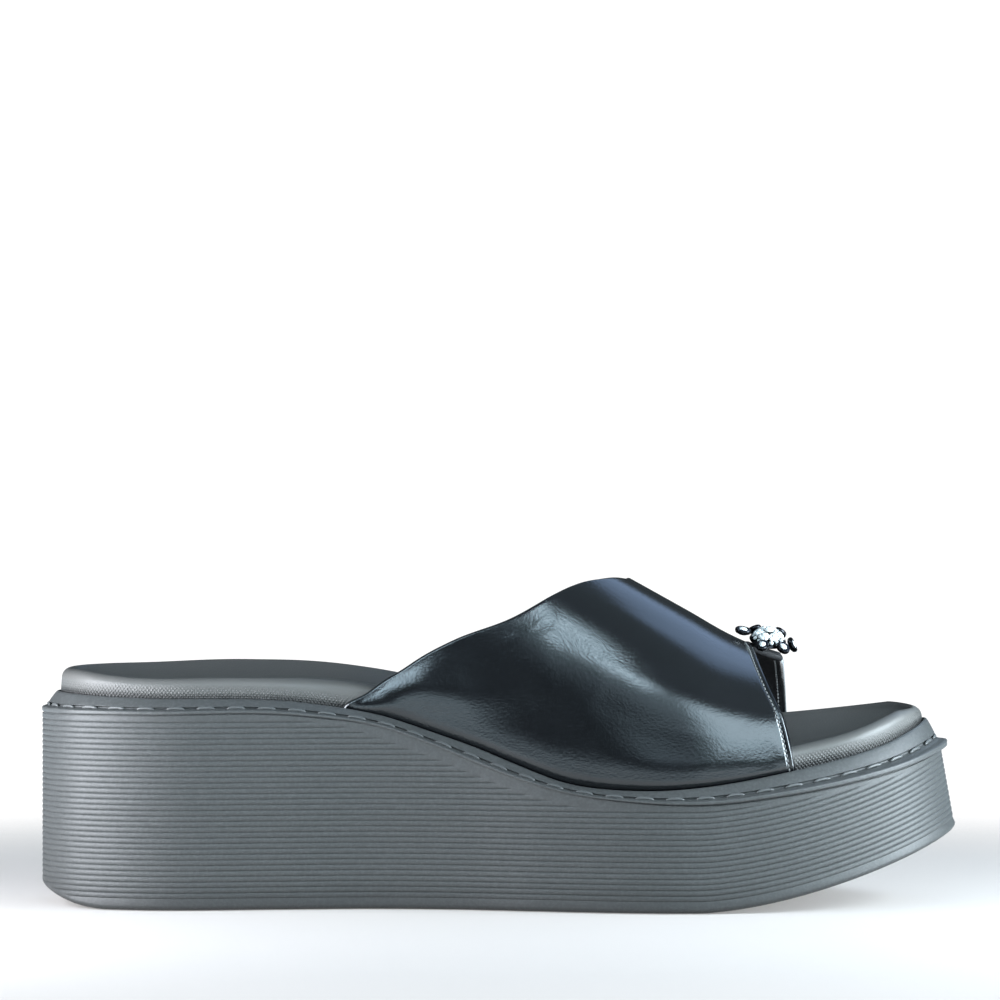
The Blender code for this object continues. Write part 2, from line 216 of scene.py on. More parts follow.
# Swell of the footbed's upright side
FOOTBED_BELLY = 0.25

# Section of the welt: reach from the footbed's edge, share of the welt's height
WELT_SECTION = (
    # reach, height
    (0.30, 0.30),
    (0.30, 0.80),
    (0.50, 0.97),
    (0.90, 1.00),
    (1.45, 0.96),
    (2.20, 0.82),
    (2.90, 0.67),
    (3.35, 0.56),
    (3.50, 0.52),
    (3.00, 0.47),
    (3.00, 0.41),
    (3.75, 0.37),
    (4.40, 0.35),
    (5.00, 0.32),
)
LIP_OVERHANG_BASE = 0.1
LIP_OVERHANG_PER_LEAN = 0.4
LIP_CREST = 0.20
LIP_ABOVE_CREST = 0.09
LIP_BELOW_CREST = 0.1
WELT_SEAT = 0.1
LIP_ROUND = 0.1
RIM_GROOVE = 0.4
RIM_GROOVE_HEIGHT = 0.35
STITCH_CHANNEL_REACH = 3.62
STITCH_CHANNEL_HEIGHT = 0.42

# Threads: radius, arch and twist of a stitch, and the form of its two ends
WELT_STITCH_RADIUS = 0.45
WELT_STITCH_ARCH = 0.16
WELT_STITCH_TWIST = 0.10
EDGE_STITCH_RADIUS = 0.24
EDGE_STITCH_ARCH = 0.10
STITCH_TIP = 0.02
STITCH_BLUNTNESS = 6
STITCH_PLY_TURN = 9
TANGENT_SHARE = 0.1

# Soft creases of the upper: from one station and share to another, half width, height
CREASES = (
    # start station, start share, end station, end share, width, height
    (127.0, 0.268, 143.0, 0.350, 1.5, 0.20),
    (133.0, 0.262, 147.0, 0.335, 3.6, -0.06),
    (203.4, 0.100, 202.2, 0.220, 4.0, -0.16),
    (207.0, 0.090, 205.0, 0.220, 1.8, 0.12),
    (152.0, 0.240, 186.0, 0.150, 9.0, -0.45),
    (168.0, 0.330, 196.0, 0.260, 8.0, 0.20),
    (118.0, 0.150, 150.0, 0.210, 8.0, -0.35),
    (88.0, 0.105, 134.0, 0.195, 6.0, 0.45),
)
GIRTH_LENGTH = 180.0
# Steps of station and girth across which a normal of the upper is taken
FRAME_STEP = 0.2
FRAME_GIRTH_STEP = 0.004
# The lateral panel ends in a step over the medial one; the step's own edge is dull
PANEL_STEP = (0.497, 0.515)
STEP_SHARE = 0.508
STEP_HALF_SHARE = 0.022
STEP_EDGE_LOOPS = 14
COLLAR_BEND = 1.3
COLLAR_BEND_WIDTH = 7.0
COLLAR_BEND_SHARES = (0.14, 0.27)
EDGE_EASE = 2.5
COLLAR_EASE = 9.0
TUCK_EASE_SHARE = 0.09
EDGE_ROLL = 0.9
EDGE_ROLL_WIDTH = 0.85
EDGE_ROLL_HEIGHT = 0.36
STITCH_LINE = 2.2
STITCH_LINE_WIDTH = 0.35
STITCH_LINE_DEPTH = 0.20
STITCH_SINK = 0.6
LATERAL_STITCHES = (0.065, 0.488)
MEDIAL_STITCHES = (0.525, 0.935)

# Flower of stones: place, petals, beads and crown as in the CAD source. Each bead is cut up into
# grains here, and a skirt of small stones is added under them.
ORNAMENT_STATION = 203.2
ORNAMENT_SIDE = 3.4
ORNAMENT_BASE_HEIGHT = 72.2
ORNAMENT_TILT_DEG = 7.0
ORNAMENT_LEAN_DEG = 24.0
PETALS = (
    # angle from the toe, droop of the outer end
    (0.0, 58.0),
    (60.0, 50.0),
    (120.0, 48.0),
    (180.0, -3.0),
    (256.0, 8.0),
    (303.0, 16.0),
)
PETAL_INNER_RADIUS = 5.0
PETAL_RISE = 1.4
PETAL_LENGTH = 4.6
PETAL_WIDTH = 3.6
PETAL_STONE_SHARE = 0.54
PETAL_STONE_LIFT = 0.95
BEAD_COUNT = 6
BEAD_SIZE = 2.2
BEAD_ORBIT = 2.6
BEAD_RISE = 2.2
GRAIN_COUNT = 6
GRAIN_SHARE = 0.60
GRAIN_ORBIT = 0.42
GRAIN_LEAN_DEG = 34.0
GRAIN_TOP_RISE = 0.3
GRAIN_RING_RISE = 0.12
SKIRT_COUNT = 14
SKIRT_ORBIT = 3.9
SKIRT_RISE = 1.3
SKIRT_LEAN_DEG = 38.0
CROWN_SIZE = 2.8
CROWN_RISE = 3.1
SETTING_PROFILE = (
    # radius, height, turn of the row in steps
    (0.0, -1.1, 0.0),
    (2.2, -1.1, 0.0),
    (2.4, -0.9, 0.0),
    (2.6, -0.4, 0.0),
    (4.4, -0.05, 0.0),
    (5.0, 0.2, 0.0),
    (5.2, 0.5, 0.0),
    (5.0, 0.9, 0.0),
    (3.5, 1.85, 0.0),
    (0.0, 1.9, 0.0),
)
CUP_PROFILE = (
    # radius share, height share, turn of the row in steps
    (0.00, 0.00, 0.0),
    (0.30, 0.00, 0.0),
    (0.46, 0.12, 0.0),
    (0.50, 0.24, 0.0),
    (0.50, 0.36, 0.0),
    (0.45, 0.45, 0.0),
    (0.33, 0.46, 0.0),
    (0.29, 0.40, 0.0),
    (0.00, 0.32, 0.0),
)
BRILLIANT_SECTION = (
    # radius share, height share, turn of the row in steps
    (0.00, 0.00, 0.0),
    (0.30, 0.13, 0.0),
    (0.50, 0.22, 0.5),
    (0.50, 0.28, 0.5),
    (0.43, 0.38, 0.0),
    (0.30, 0.48, 0.5),
    (0.00, 0.48, 0.5),
)

# Camera: the photograph's level view of the lateral side, its distance from the heel's axis
CAMERA_STATION = 128.05
CAMERA_DISTANCE = 1200.0
CAMERA_HEIGHT = 112.0
IMAGE_WIDTH_PX = 1000
FOCAL_LENGTH_PX = 4283
SENSOR_WIDTH = 36.0

# Studio: lamps, the room they stand in, from wall up to ceiling and down to ground, and the floor
SOFT_BOXES = (
    # name, bearing from the camera's side, elevation, distance (m), width, height, radiance, colour
    ("left_box", -66.0, 2.0, 0.29, 0.20, 0.24, 15.0, "#f4f7ff"),
    ("right_box", 72.0, 14.0, 0.36, 0.20, 0.24, 20.0, "#e8f6ff"),
    ("key_box", 4.0, 23.0, 1.4, 0.74, 0.58, 0.95, "#d8f0ff"),
    ("core_box", 34.0, 22.0, 1.4, 0.78, 0.58, 5.3, "#dcf2ff"),
    ("brow_box", 0.0, 39.0, 1.4, 0.23, 0.25, 10.5, "#dcf2ff"),
    ("fill_box", -39.0, 30.0, 1.4, 0.54, 0.40, 7.0, "#d8f0ff"),
    ("back_box", 126.0, 48.0, 1.5, 1.2, 0.9, 1.2, "#b0d0ff"),
)
ROOM_COLOUR = "#dcf2ff"
AIM = Vector((0.0, 0.0, 0.045))
ROOM_WALL = 0.05
CEILING_RISE = (0.3, 0.9)
ROOM_CEILING = 0.3
GROUND_FALL = (-0.02, -0.13)
ROOM_GROUND = 2.0
BACKDROP_STRENGTH = 1.1
FLOOR_RADIUS = 600.0
FLOOR_FADE_START = 170.0
FLOOR_FADE_END = 420.0
FLOOR_DROP = 0.2
PAPER_GLOW = 0.29

# Finishes: heights in millimetres; painted shade, painted highlight, wear and tone as factors of a piece's
# own colour
# Painted shade on the rubber: it darkens towards the floor, from this height down to this share of its
# colour at the floor
SOIL_HEIGHT = 9.0
SOIL_SHADE = 0.6
SOLE_DUST = 1.35
SOLE_ROUGHNESS = 0.5
WELT_DUST = 1.4
WELT_ROUGHNESS = 0.46
LEATHER_WAX = 1.5
LINING_WORN = 1.3
FOOTBED_WORN = 1.2
# Painted shade: the footbed's top is painted darker than its side wall, blending in between these two
# heights up the wall
FOOTBED_TOP_SHADE = 0.62
FOOTBED_TOP_HEIGHTS = (4.2, 7.2)
NET_FADE = 2.6
# Painted shade in the hollows of the pressed net: how dark, as a factor of the colour, and how much of it
# is mixed in
NET_SHADE = 0.3
NET_SHADE_SHARE = 0.5
# Painted shade along the seam where the footbed meets the welt: from this height to that one, darkest at
# the bottom
SEAM_SOIL_HEIGHTS = (0.4, 1.5)
SEAM_SOIL_SHADE = 0.25
THREAD_PLY = 1.3
# Painted highlight: the toe edge's thread is painted lighter than the welt's, as if its stitches caught the
# light
EDGE_THREAD_TONES = (1.3, 2.4)
PLATE_RUB = 1.8
# A wave texture repeats at this step of its coordinate
WAVE_STEP = math.pi / 10

# Fineness of the meshes
SOLE_COLUMNS = 460
BOTTOM_EDGE_ROWS = 5
FOOTBED_COLUMNS = 460
FOOTBED_SIDE_ROWS = 10
FOOTBED_SHOULDER_ROWS = 10
FOOTBED_TOP_ROWS = 22
WELT_ROWS = 44
UPPER_COLUMNS = 210
UPPER_FACE_POINTS = 83
TOE_EDGE_POINTS = 22
TOE_EDGE_LENGTH = 5.0
EDGE_ARC_POINTS = 6
STITCH_PATH_POINTS = 400
STITCH_RINGS = 11
STITCH_SIDES = 8
STONE_SIDES = 8
ROUND_SIDES = 32
FLOOR_SIDES = 64


def linear(hex_colour):
    """Linear RGB of an sRGB hex colour."""
    parts = [int(hex_colour[i:i + 2], 16) / 255 for i in (1, 3, 5)]
    return tuple(v / 12.92 if v <= 0.04045 else ((v + 0.055) / 1.055) ** 2.4 for v in parts)


# Curves through the tables


def column_of(table, index):
    """One column of a table as an array."""
    return np.array([row[index] for row in table], float)


def smooth_through(nodes, values, at):
    """Cubic through the rows of a table, whose slope at a row comes from its neighbours."""
    at = np.clip(np.asarray(at, float), nodes[0], nodes[-1])
    slopes = np.gradient(values, nodes)
    row = np.clip(np.searchsorted(nodes, at, side="right") - 1, 0, len(nodes) - 2)
    span = nodes[row + 1] - nodes[row]
    t = (at - nodes[row]) / span
    rise = (1 + 2 * t) * (1 - t) ** 2 * values[row] + t * t * (3 - 2 * t) * values[row + 1]
    return rise + span * t * (1 - t) * ((1 - t) * slopes[row] - t * slopes[row + 1])


def table_value(table, index, at):
    """A column of a table, read between its rows against the first column."""
    return smooth_through(column_of(table, 0), column_of(table, index), at)


def smooth_step(low, high, at):
    """Nought below low and one above high, between them three squares less two cubes of the share."""
    t = np.clip((at - low) / (high - low), 0, 1)
    return t * t * (3 - 2 * t)


def unit(vectors):
    """Vectors divided by their lengths."""
    return vectors / np.linalg.norm(vectors, axis=-1, keepdims=True)


# The sole's plan and profile


def outline_points(angle):
    """Plan points: station is L/2 (1 - cos angle), side a periodic cubic through the outline's rows."""
    stations = column_of(OUTLINE, 0)
    row_angles = np.arccos(np.clip(1 - 2 * stations / stations[-1], -1, 1))
    nodes = np.concatenate([row_angles, 2 * math.pi - row_angles[-2:0:-1]])
    sides = np.concatenate([-column_of(OUTLINE, 1), column_of(OUTLINE, 2)[-2:0:-1]])
    turns = np.concatenate([nodes - 2 * math.pi, nodes, nodes + 2 * math.pi])
    across = smooth_through(turns, np.tile(sides, 3), angle)
    return np.stack([stations[-1] / 2 * (1 - np.cos(angle)), across], -1)


def outline_normals(angle):
    """Outward normals of the outline, from a short chord on each side of a point."""
    step = 2 * math.pi / OUTLINE_SAMPLES
    along = outline_points(angle + step) - outline_points(angle - step)
    return unit(np.stack([along[..., 1], -along[..., 0]], -1))


class Columns(NamedTuple):
    """Upright lines round the sole: plan point, plan normal and the profile's values at each."""

    edge: np.ndarray
    normal: np.ndarray
    station: np.ndarray
    rim: np.ndarray
    welt: np.ndarray
    lean: np.ndarray


def sole_columns(count):
    """Columns at even steps of the outline's angle, a little closer along the two sides."""
    even = (np.arange(count) + 0.5) * 2 * math.pi / count
    angle = even + END_DENSITY * np.sin(2 * even)
    edge = outline_points(angle)
    values = (table_value(PROFILE, index, edge[:, 0]) for index in (1, 2, 3))
    return Columns(edge, outline_normals(angle), edge[:, 0], *values)


def rings(columns, offset, height):
    """Rings of points: the outline moved outwards by offset, at the given heights."""
    offset, height = np.broadcast_arrays(offset, height)
    plan = columns.edge + columns.normal * offset[..., None]
    return np.concatenate([plan, height[..., None]], -1)


def toe_spring(station):
    """Rise of the underside at the toe: a power of the share of the way from its start to the tip."""
    share = np.clip((station - TOE_SPRING_START) / (SOLE_LENGTH - TOE_SPRING_START), 0, 1)
    return TOE_SPRING * share**TOE_SPRING_POWER


def bottom_height(station):
    """Underside: flat, with a bevel that grows as a square at the heel and a spring at the toe."""
    bevel = np.clip(1 - station / HEEL_BEVEL_LENGTH, 0, 1)
    return HEEL_BEVEL_HEIGHT * bevel**2 + toe_spring(station)


# Meshes from grids of points


def grid_faces(rows, columns, wrap_rows=False, wrap_columns=True):
    """Quads between neighbouring points of a grid, which may close on itself either way."""
    row = np.arange(rows if wrap_rows else rows - 1)[:, None]
    column = np.arange(columns if wrap_columns else columns - 1)[None, :]
    below, right = (row + 1) % rows, (column + 1) % columns
    corners = [(row, column), (row, right), (below, right), (below, column)]
    return np.stack([r * columns + c for r, c in corners], -1).reshape(-1, 4)


def strip_faces(first, count):
    """Quads across a closed ring of points, from each point to its mirror on the other side."""
    here = np.arange(count // 2 - 1)
    return first + np.stack([here, here + 1, count - 2 - here, count - 1 - here], -1)


def capped_faces(rows, columns):
    """Quads of a grid that closes round, with a strip across its first and its last ring."""
    caps = [strip_faces(row * columns, columns) for row in (0, rows - 1)]
    return np.concatenate([grid_faces(rows, columns), *caps])


def make_piece(name, points, faces, finishes, slot, uv=None, finish_of_face=None, sharp_deg=180.0):
    """A mesh object from points in millimetres and quads, with doubles merged and faces outwards.
    Edges sharper than sharp_deg stay hard; 0 leaves every face flat."""
    mesh = bpy.data.meshes.new(name)
    places = (np.asarray(points, float).reshape(-1, 3) - ORIGIN) * MM
    mesh.vertices.add(len(places))
    mesh.vertices.foreach_set("co", places.astype(np.float32).ravel())
    mesh.loops.add(faces.size)
    mesh.loops.foreach_set("vertex_index", faces.astype(np.int32).ravel())
    mesh.polygons.add(len(faces))
    mesh.polygons.foreach_set("loop_start", np.arange(0, faces.size, 4, dtype=np.int32))
    mesh.update(calc_edges=True)
    if uv is not None:
        mesh.uv_layers.new(name="surface").uv.foreach_set("vector", uv.astype(np.float32).ravel())
    for finish in finishes:
        mesh.materials.append(finish)
    if finish_of_face is not None:
        mesh.polygons.foreach_set("material_index", finish_of_face.astype(np.int32))
    work = bmesh.new()
    work.from_mesh(mesh)
    bmesh.ops.remove_doubles(work, verts=work.verts, dist=MERGE_DISTANCE)
    bmesh.ops.recalc_face_normals(work, faces=work.faces)
    work.to_mesh(mesh)
    work.free()
    if sharp_deg > 0:
        mesh.shade_smooth()
        mesh.set_sharp_from_angle(angle=math.radians(sharp_deg))
    obj = bpy.data.objects.new(name, mesh)
    bpy.context.scene.collection.objects.link(obj)
    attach(obj, "root")
    return obj


def join_shapes(shapes):
    """Points and quads of many (points, faces) shapes as one pair of arrays."""
    counts = np.cumsum([0] + [len(points.reshape(-1, 3)) for points, _ in shapes[:-1]])
    points = np.concatenate([points.reshape(-1, 3) for points, _ in shapes])
    return points, np.concatenate([faces + first for (_, faces), first in zip(shapes, counts)])


def path_lengths(path):
    """Length along a path of points, up to each of them."""
    return np.concatenate([[0], np.cumsum(np.linalg.norm(np.diff(path, axis=0), axis=1))])


def evenly_along(path, pitch):
    """Points and unit tangents at even steps of length along a path of points, and those lengths."""
    lengths = path_lengths(path)
    count = max(int(lengths[-1] / pitch), 1)
    at = (np.arange(count) + 0.5) * lengths[-1] / count
    reach = pitch * TANGENT_SHARE
    before, here, after = (
        np.stack([np.interp(at + step, lengths, path[:, axis]) for axis in range(3)], -1)
        for step in (-reach, 0, reach)
    )
    return here, unit(after - before), at


def stitches(centres, along, up, length, radius, arch, twist=0.0):
    """Rows of sewn stitches: each a thread bent as a parabola, its ends sunk in, its girth an
    ellipse that may be twisted like two plies."""
    share = np.linspace(-1, 1, STITCH_RINGS)[:, None]
    turn = np.linspace(0, 2 * math.pi, STITCH_SIDES, endpoint=False)[None, :]
    side = unit(np.cross(along, up))
    lift = np.cross(side, along)
    blunt = np.sqrt(np.clip(1 + STITCH_TIP - share**STITCH_BLUNTNESS, 0, 1))
    girth = radius * blunt * (1 + twist * np.cos(2 * turn - STITCH_PLY_TURN * share))
    forward = length / 2 * share + 0 * turn
    upward = arch * (1 - 2 * share**2) + girth * np.sin(turn)
    sideways = girth * np.cos(turn)
    points = (
        centres[:, None, None]
        + along[:, None, None] * forward[..., None]
        + lift[:, None, None] * upward[..., None]
        + side[:, None, None] * sideways[..., None]
    )
    rows, columns = girth.shape
    first = np.arange(len(centres))[:, None, None] * rows * columns
    return points, (capped_faces(rows, columns)[None] + first).reshape(-1, 4)


# Finishes


def wire(tree, node, inputs):
    """Gives each input of a node a link, where the value is a socket or a node, whose first output in
    use is taken, or else the value itself."""
    for name, value in inputs.items():
        if isinstance(value, bpy.types.Node):
            value = next(socket for socket in value.outputs if socket.enabled)
        if isinstance(value, bpy.types.NodeSocket):
            tree.links.new(value, node.inputs[name])
        else:
            node.inputs[name].default_value = value
    return node


def add_node(tree, kind, inputs, **settings):
    """Adds a shader node: first its settings, which decide the sockets in use, then values and links."""
    node = tree.nodes.new("ShaderNode" + kind)
    for name, value in settings.items():
        setattr(node, name, value)
    return wire(tree, node, inputs)


def new_finish(name):
    """An empty finish: the material, a call that adds a node to it, one that sets the inputs of its
    Principled shader, and its object coordinates."""
    made = bpy.data.materials.new(name)
    made.use_nodes = True
    add = partial(add_node, made.node_tree)
    shade = partial(wire, made.node_tree, made.node_tree.nodes["Principled BSDF"])
    return made, add, shade, add("TexCoord", {}).outputs["Object"]


def per_mm(size):
    """Scale of a texture whose features are size millimetres apart, on coordinates in metres."""
    return 1 / (size * MM)


def scaled(colour, factor):
    """A colour times a factor, no channel past one."""
    return tuple(min(value * factor, 1.0) for value in colour)


def opaque(colour):
    """A colour with full alpha, as a socket takes it."""
    return (*colour, 1.0)


def moulded_rubber(name, colour, dust, roughness):
    """Injection-moulded rubber foam: satin, faintly mottled, with the mould's sand-blast grain, and
    painted shade that makes it darker towards the floor. The grain, really about 0.2 mm, is drawn coarser
    so that it shows."""
    made, add, shade, place = new_finish(name)
    mottle = add("TexNoise", {"Vector": place, "Scale": per_mm(22), "Detail": 4.0})
    grain = add("TexNoise", {"Vector": place, "Scale": per_mm(0.8), "Detail": 3.0})
    speck = add("MapRange", {"Value": grain, "From Min": 0.42, "From Max": 0.72})
    tone = add("Mix", {"Factor": speck, "A": opaque(colour), "B": opaque(dust)}, data_type="RGBA")
    # Painted shade: the colour is darkened towards the floor
    up = add("SeparateXYZ", {"Vector": place}).outputs["Z"]
    soil = add("MapRange", {"Value": up, "From Max": SOIL_HEIGHT * MM, "To Min": SOIL_SHADE})
    soiled = add("VectorMath", {0: tone, "Scale": soil}, operation="SCALE")
    shine = add("MapRange", {"Value": mottle, "To Min": roughness - 0.06, "To Max": roughness + 0.08})
    bump = add("Bump", {"Height": grain, "Strength": 0.45, "Distance": 0.12 * MM})
    shade({"Base Color": soiled, "Roughness": shine, "Normal": bump, "IOR": 1.48})
    return made


def polished_leather(colour, waxed):
    """Brush-off calf leather: near-black, waxed to a gloss, with a fine grain pulled a little along a
    slant. The grain, really about 0.3 mm, is drawn coarser so that it shows."""
    made, add, shade, place = new_finish("polished_calf_leather")
    slant = {"Rotation": (0.0, math.radians(38), 0.0), "Scale": (0.8, 1.0, 1.0)}
    pulled = add("Mapping", {"Vector": place, **slant})
    grain = add("TexNoise", {"Vector": pulled, "Scale": per_mm(0.6), "Detail": 3.0, "Roughness": 0.6})
    pull = add("TexNoise", {"Vector": place, "Scale": per_mm(16), "Detail": 2.0})
    wax = add("TexNoise", {"Vector": place, "Scale": per_mm(9), "Detail": 5.0})
    tone = add("Mix", {"Factor": wax, "A": opaque(colour), "B": opaque(waxed)}, data_type="RGBA")
    shine = add("MapRange", {"Value": wax, "To Min": 0.16, "To Max": 0.22})
    soft = add("Bump", {"Height": pull, "Strength": 0.10, "Distance": 0.5 * MM})
    fine = add("Bump", {"Height": grain, "Strength": 0.6, "Distance": 0.09 * MM, "Normal": soft})
    shade(
        {
            "Base Color": tone,
            "Roughness": shine,
            "Normal": fine,
            "IOR": 1.5,
            "Specular Tint": (0.84, 0.96, 1.0, 1.0),
            "Coat Weight": 1.0,
            "Coat IOR": 1.5,
            "Coat Roughness": 0.13,
            "Coat Normal": fine,
        }
    )
    return made


def lining_leather(colour, worn):
    """Drum-dyed pigskin lining: matt, dark, with small pores."""
    made, add, shade, place = new_finish("pigskin_lining")
    pores = add("TexVoronoi", {"Vector": place, "Scale": per_mm(1.6)})
    tone = add("Mix", {"Factor": pores, "A": opaque(colour), "B": opaque(worn)}, data_type="RGBA")
    bump = add("Bump", {"Height": pores, "Strength": 0.3, "Distance": 0.15 * MM})
    shade({"Base Color": tone, "Roughness": 0.62, "Normal": bump, "IOR": 1.42})
    return made


def footbed_cover(colour, worn, net_height):
    """Foam-backed sheep leather: soft matt grain on top, with painted shade that makes the top darker than
    the side wall, a pressed net on the lower side wall with painted shade in its hollows, and painted shade
    along the seam where it meets the welt."""
    made, add, shade, place = new_finish("sheep_leather_cover")
    surface = add("TexCoord", {}).outputs["UV"]
    grain = add("TexVoronoi", {"Vector": place, "Scale": per_mm(0.7), "Randomness": 0.9})
    cloud = add("TexNoise", {"Vector": place, "Scale": per_mm(14), "Detail": 4.0})
    wobble = {"Distortion": 1.2, "Detail": 1.0, "Detail Scale": 1.5}
    weave = []
    for turn in (38, -38):
        slant = add("Mapping", {"Vector": surface, "Rotation": (0.0, 0.0, math.radians(turn))})
        wave = add("TexWave", {"Vector": slant, "Scale": WAVE_STEP * per_mm(0.8), **wobble})
        weave.append(wave.outputs["Fac"])
    net = add("Math", {0: weave[0], 1: weave[1]}, operation="MULTIPLY")
    up_wall = add("SeparateXYZ", {"Vector": surface}).outputs["Y"]
    on_net = add(
        "MapRange",
        {"Value": up_wall, "From Min": net_height * MM, "From Max": (net_height - NET_FADE) * MM},
    )
    hollow = add("Math", {0: 1.0, 1: net}, operation="SUBTRACT")
    sunk = add("Math", {0: hollow, 1: on_net}, operation="MULTIPLY")
    plain = add("Mix", {"Factor": cloud, "A": opaque(colour), "B": opaque(worn)}, data_type="RGBA")
    # Painted shade: the top is darker than the side wall
    low, high = (height * MM for height in FOOTBED_TOP_HEIGHTS)
    on_top = add("MapRange", {"Value": up_wall, "From Min": low, "From Max": high})
    top = opaque(scaled(colour, FOOTBED_TOP_SHADE))
    brushed = add("Mix", {"Factor": on_top, "A": plain, "B": top}, data_type="RGBA")
    # Painted shade in the net's hollows
    shadow = add("Math", {0: sunk, 1: NET_SHADE_SHARE}, operation="MULTIPLY")
    dark = opaque(scaled(colour, NET_SHADE))
    tone = add("Mix", {"Factor": shadow, "A": brushed, "B": dark}, data_type="RGBA")
    # Painted shade along the seam at the welt
    low, high = (height * MM for height in SEAM_SOIL_HEIGHTS)
    seam = {"From Min": low, "From Max": high, "To Min": SEAM_SOIL_SHADE}
    soil = add("MapRange", {"Value": up_wall, **seam})
    soiled = add("VectorMath", {0: tone, "Scale": soil}, operation="SCALE")
    shine = add("MapRange", {"Value": cloud, "To Min": 0.36, "To Max": 0.48})
    pressed = add("Bump", {"Height": sunk, "Strength": 0.8, "Distance": 0.3 * MM}, invert=True)
    bump = add("Bump", {"Height": grain, "Strength": 0.35, "Distance": 0.1 * MM, "Normal": pressed})
    shade({"Base Color": soiled, "Roughness": shine, "Normal": bump, "IOR": 1.45})
    return made


def waxed_thread(name, colour, ply):
    """Waxed polyester thread: two plies whose fibres catch a narrow light. The fibres, really about
    0.02 mm, are drawn coarser so that they show."""
    made, add, shade, place = new_finish(name)
    fibres = add("TexNoise", {"Vector": place, "Scale": per_mm(0.25), "Detail": 2.0})
    tone = add("Mix", {"Factor": fibres, "A": opaque(colour), "B": opaque(ply)}, data_type="RGBA")
    bump = add("Bump", {"Height": fibres, "Strength": 0.3, "Distance": 0.08 * MM})
    shade({"Base Color": tone, "Roughness": 0.38, "Normal": bump, "IOR": 1.5})
    return made


def gunmetal_plate(colour, bright):
    """Zinc casting with black nickel plate: dark mirror, lighter where the plate is rubbed."""
    made, add, shade, place = new_finish("black_nickel_plate")
    rub = add("TexNoise", {"Vector": place, "Scale": per_mm(2.5), "Detail": 4.0})
    tone = add("Mix", {"Factor": rub, "A": opaque(colour), "B": opaque(bright)}, data_type="RGBA")
    shine = add("MapRange", {"Value": rub, "To Min": 0.14, "To Max": 0.3})
    shade({"Base Color": tone, "Roughness": shine, "Metallic": 1.0})
    return made


def cut_glass(name, colour, in_shade):
    """Machine-cut lead glass: bright hard facets, painted white as a reflection, some painted grey as
    shade.
    """
    made, add, shade, place = new_finish(name)
    # Painted shade on some facets, painted reflection on the rest
    fire = add("TexVoronoi", {"Vector": place, "Scale": per_mm(0.8)})
    dark = add("SeparateColor", {"Color": fire.outputs["Color"]}).outputs["Red"]
    tone = add("Mix", {"Factor": dark, "A": opaque(colour), "B": opaque(in_shade)}, data_type="RGBA")
    shade({"Base Color": tone, "Roughness": 0.06, "IOR": 1.6, "Coat Weight": 0.6, "Coat IOR": 1.7})
    return made


def seamless_paper(colour):
    """Matt studio paper: almost white, clearing towards its rim so that it has no edge."""
    made, add, shade, place = new_finish("seamless_paper")
    from_shoe = add("VectorMath", {0: place}, operation="LENGTH")
    span = {"From Min": FLOOR_FADE_START * MM, "From Max": FLOOR_FADE_END * MM}
    clear = add(
        "MapRange",
        {"Value": from_shoe, **span, "To Min": 1.0, "To Max": 0.0},
        interpolation_type="SMOOTHSTEP",
    )
    shade(
        {
            "Base Color": opaque(colour),
            "Roughness": 0.9,
            "Specular IOR Level": 0.1,
            "Alpha": clear,
            "Emission Color": (1.0, 1.0, 1.0, 1.0),
            "Emission Strength": PAPER_GLOW,
        }
    )
    return made


# What a user may change


def length_property(label, note, default_mm):
    """A length a user may change, given in millimetres and kept in metres."""
    return FloatProperty(
        name=label, description=note, default=default_mm * MM, min=0.0, unit="LENGTH", precision=5
    )


def colour_property(label, note, hex_colour):
    """A colour a user may change, given as sRGB hex and kept linear."""
    return FloatVectorProperty(
        name=label, description=note, default=linear(hex_colour), size=3, subtype="COLOR", min=0, max=1
    )


class MuleSizes(bpy.types.PropertyGroup):
    """Sizes of the fine surface."""

    rib_pitch: length_property("Rib pitch", "Height from one rib of the sole to the next", 1.5)
    rib_depth: length_property("Rib depth", "Depth of the grooves between the ribs", 0.27)
    welt_stitch_pitch: length_property("Welt stitch pitch", "From one welt stitch to the next", 8.2)
    welt_stitch_length: length_property("Welt stitch length", "Length of one welt stitch", 5.2)
    edge_stitch_pitch: length_property("Edge stitch pitch", "From one edge stitch to the next", 1.35)
    edge_stitch_length: length_property("Edge stitch length", "Length of one edge stitch", 1.05)
    upper_wall: length_property("Upper wall", "Thickness of the upper with its lining", 2.0)
    net_height: length_property("Net height", "Height of the pressed net over the welt", 3.6)
    crease_depth: FloatProperty(
        name="Crease depth", description="Share of the creases' full depth", default=1.0, min=0.0, max=2.0
    )
    footbed_fill: FloatProperty(
        name="Footbed fill", description="How tight the footbed's padding is", default=0.9, min=0, max=1
    )


class MuleColours(bpy.types.PropertyGroup):
    """Colours of the finishes."""

    sole: colour_property("Sole", "Moulded rubber of the wedge", "#3a3c3c")
    welt: colour_property("Welt", "Moulded rubber of the welt", "#3c3e3e")
    leather: colour_property("Leather", "Polished outside of the upper", "#08090b")
    lining: colour_property("Lining", "Inside of the upper", "#1b1b1d")
    footbed: colour_property("Footbed", "Leather on the footbed", "#545452")
    thread: colour_property("Thread", "Stitches of the welt and of the toe edge", "#4a4c4c")
    metal: colour_property("Metal", "Plated setting of the stones", "#27282b")
    # Painted reflection: the stones' white stands in for the white studio they mirror; the shade colour is
    # painted shade on some facets
    crystal: colour_property("Crystal", "Foiled stones", "#fbfdfd")
    crystal_shade: colour_property("Crystal shade", "Foiled stones where a facet is in shade", "#c0cac8")
    paper: colour_property("Paper", "Studio floor", "#a5a19e")


# The wedge sole


def wall_offset(columns, height):
    """Lean of the sole's wall: it grows in proportion to the height, up to its value at the rim."""
    bottom = bottom_height(columns.station)
    return -columns.lean * (height - bottom) / (columns.rim - bottom)


def on_slope(station):
    """One along the sloping waist of the sole, eased to nought at the heel and at the ball."""
    return smooth_step(*SLOPE_START, station) * (1 - smooth_step(*SLOPE_END, station))


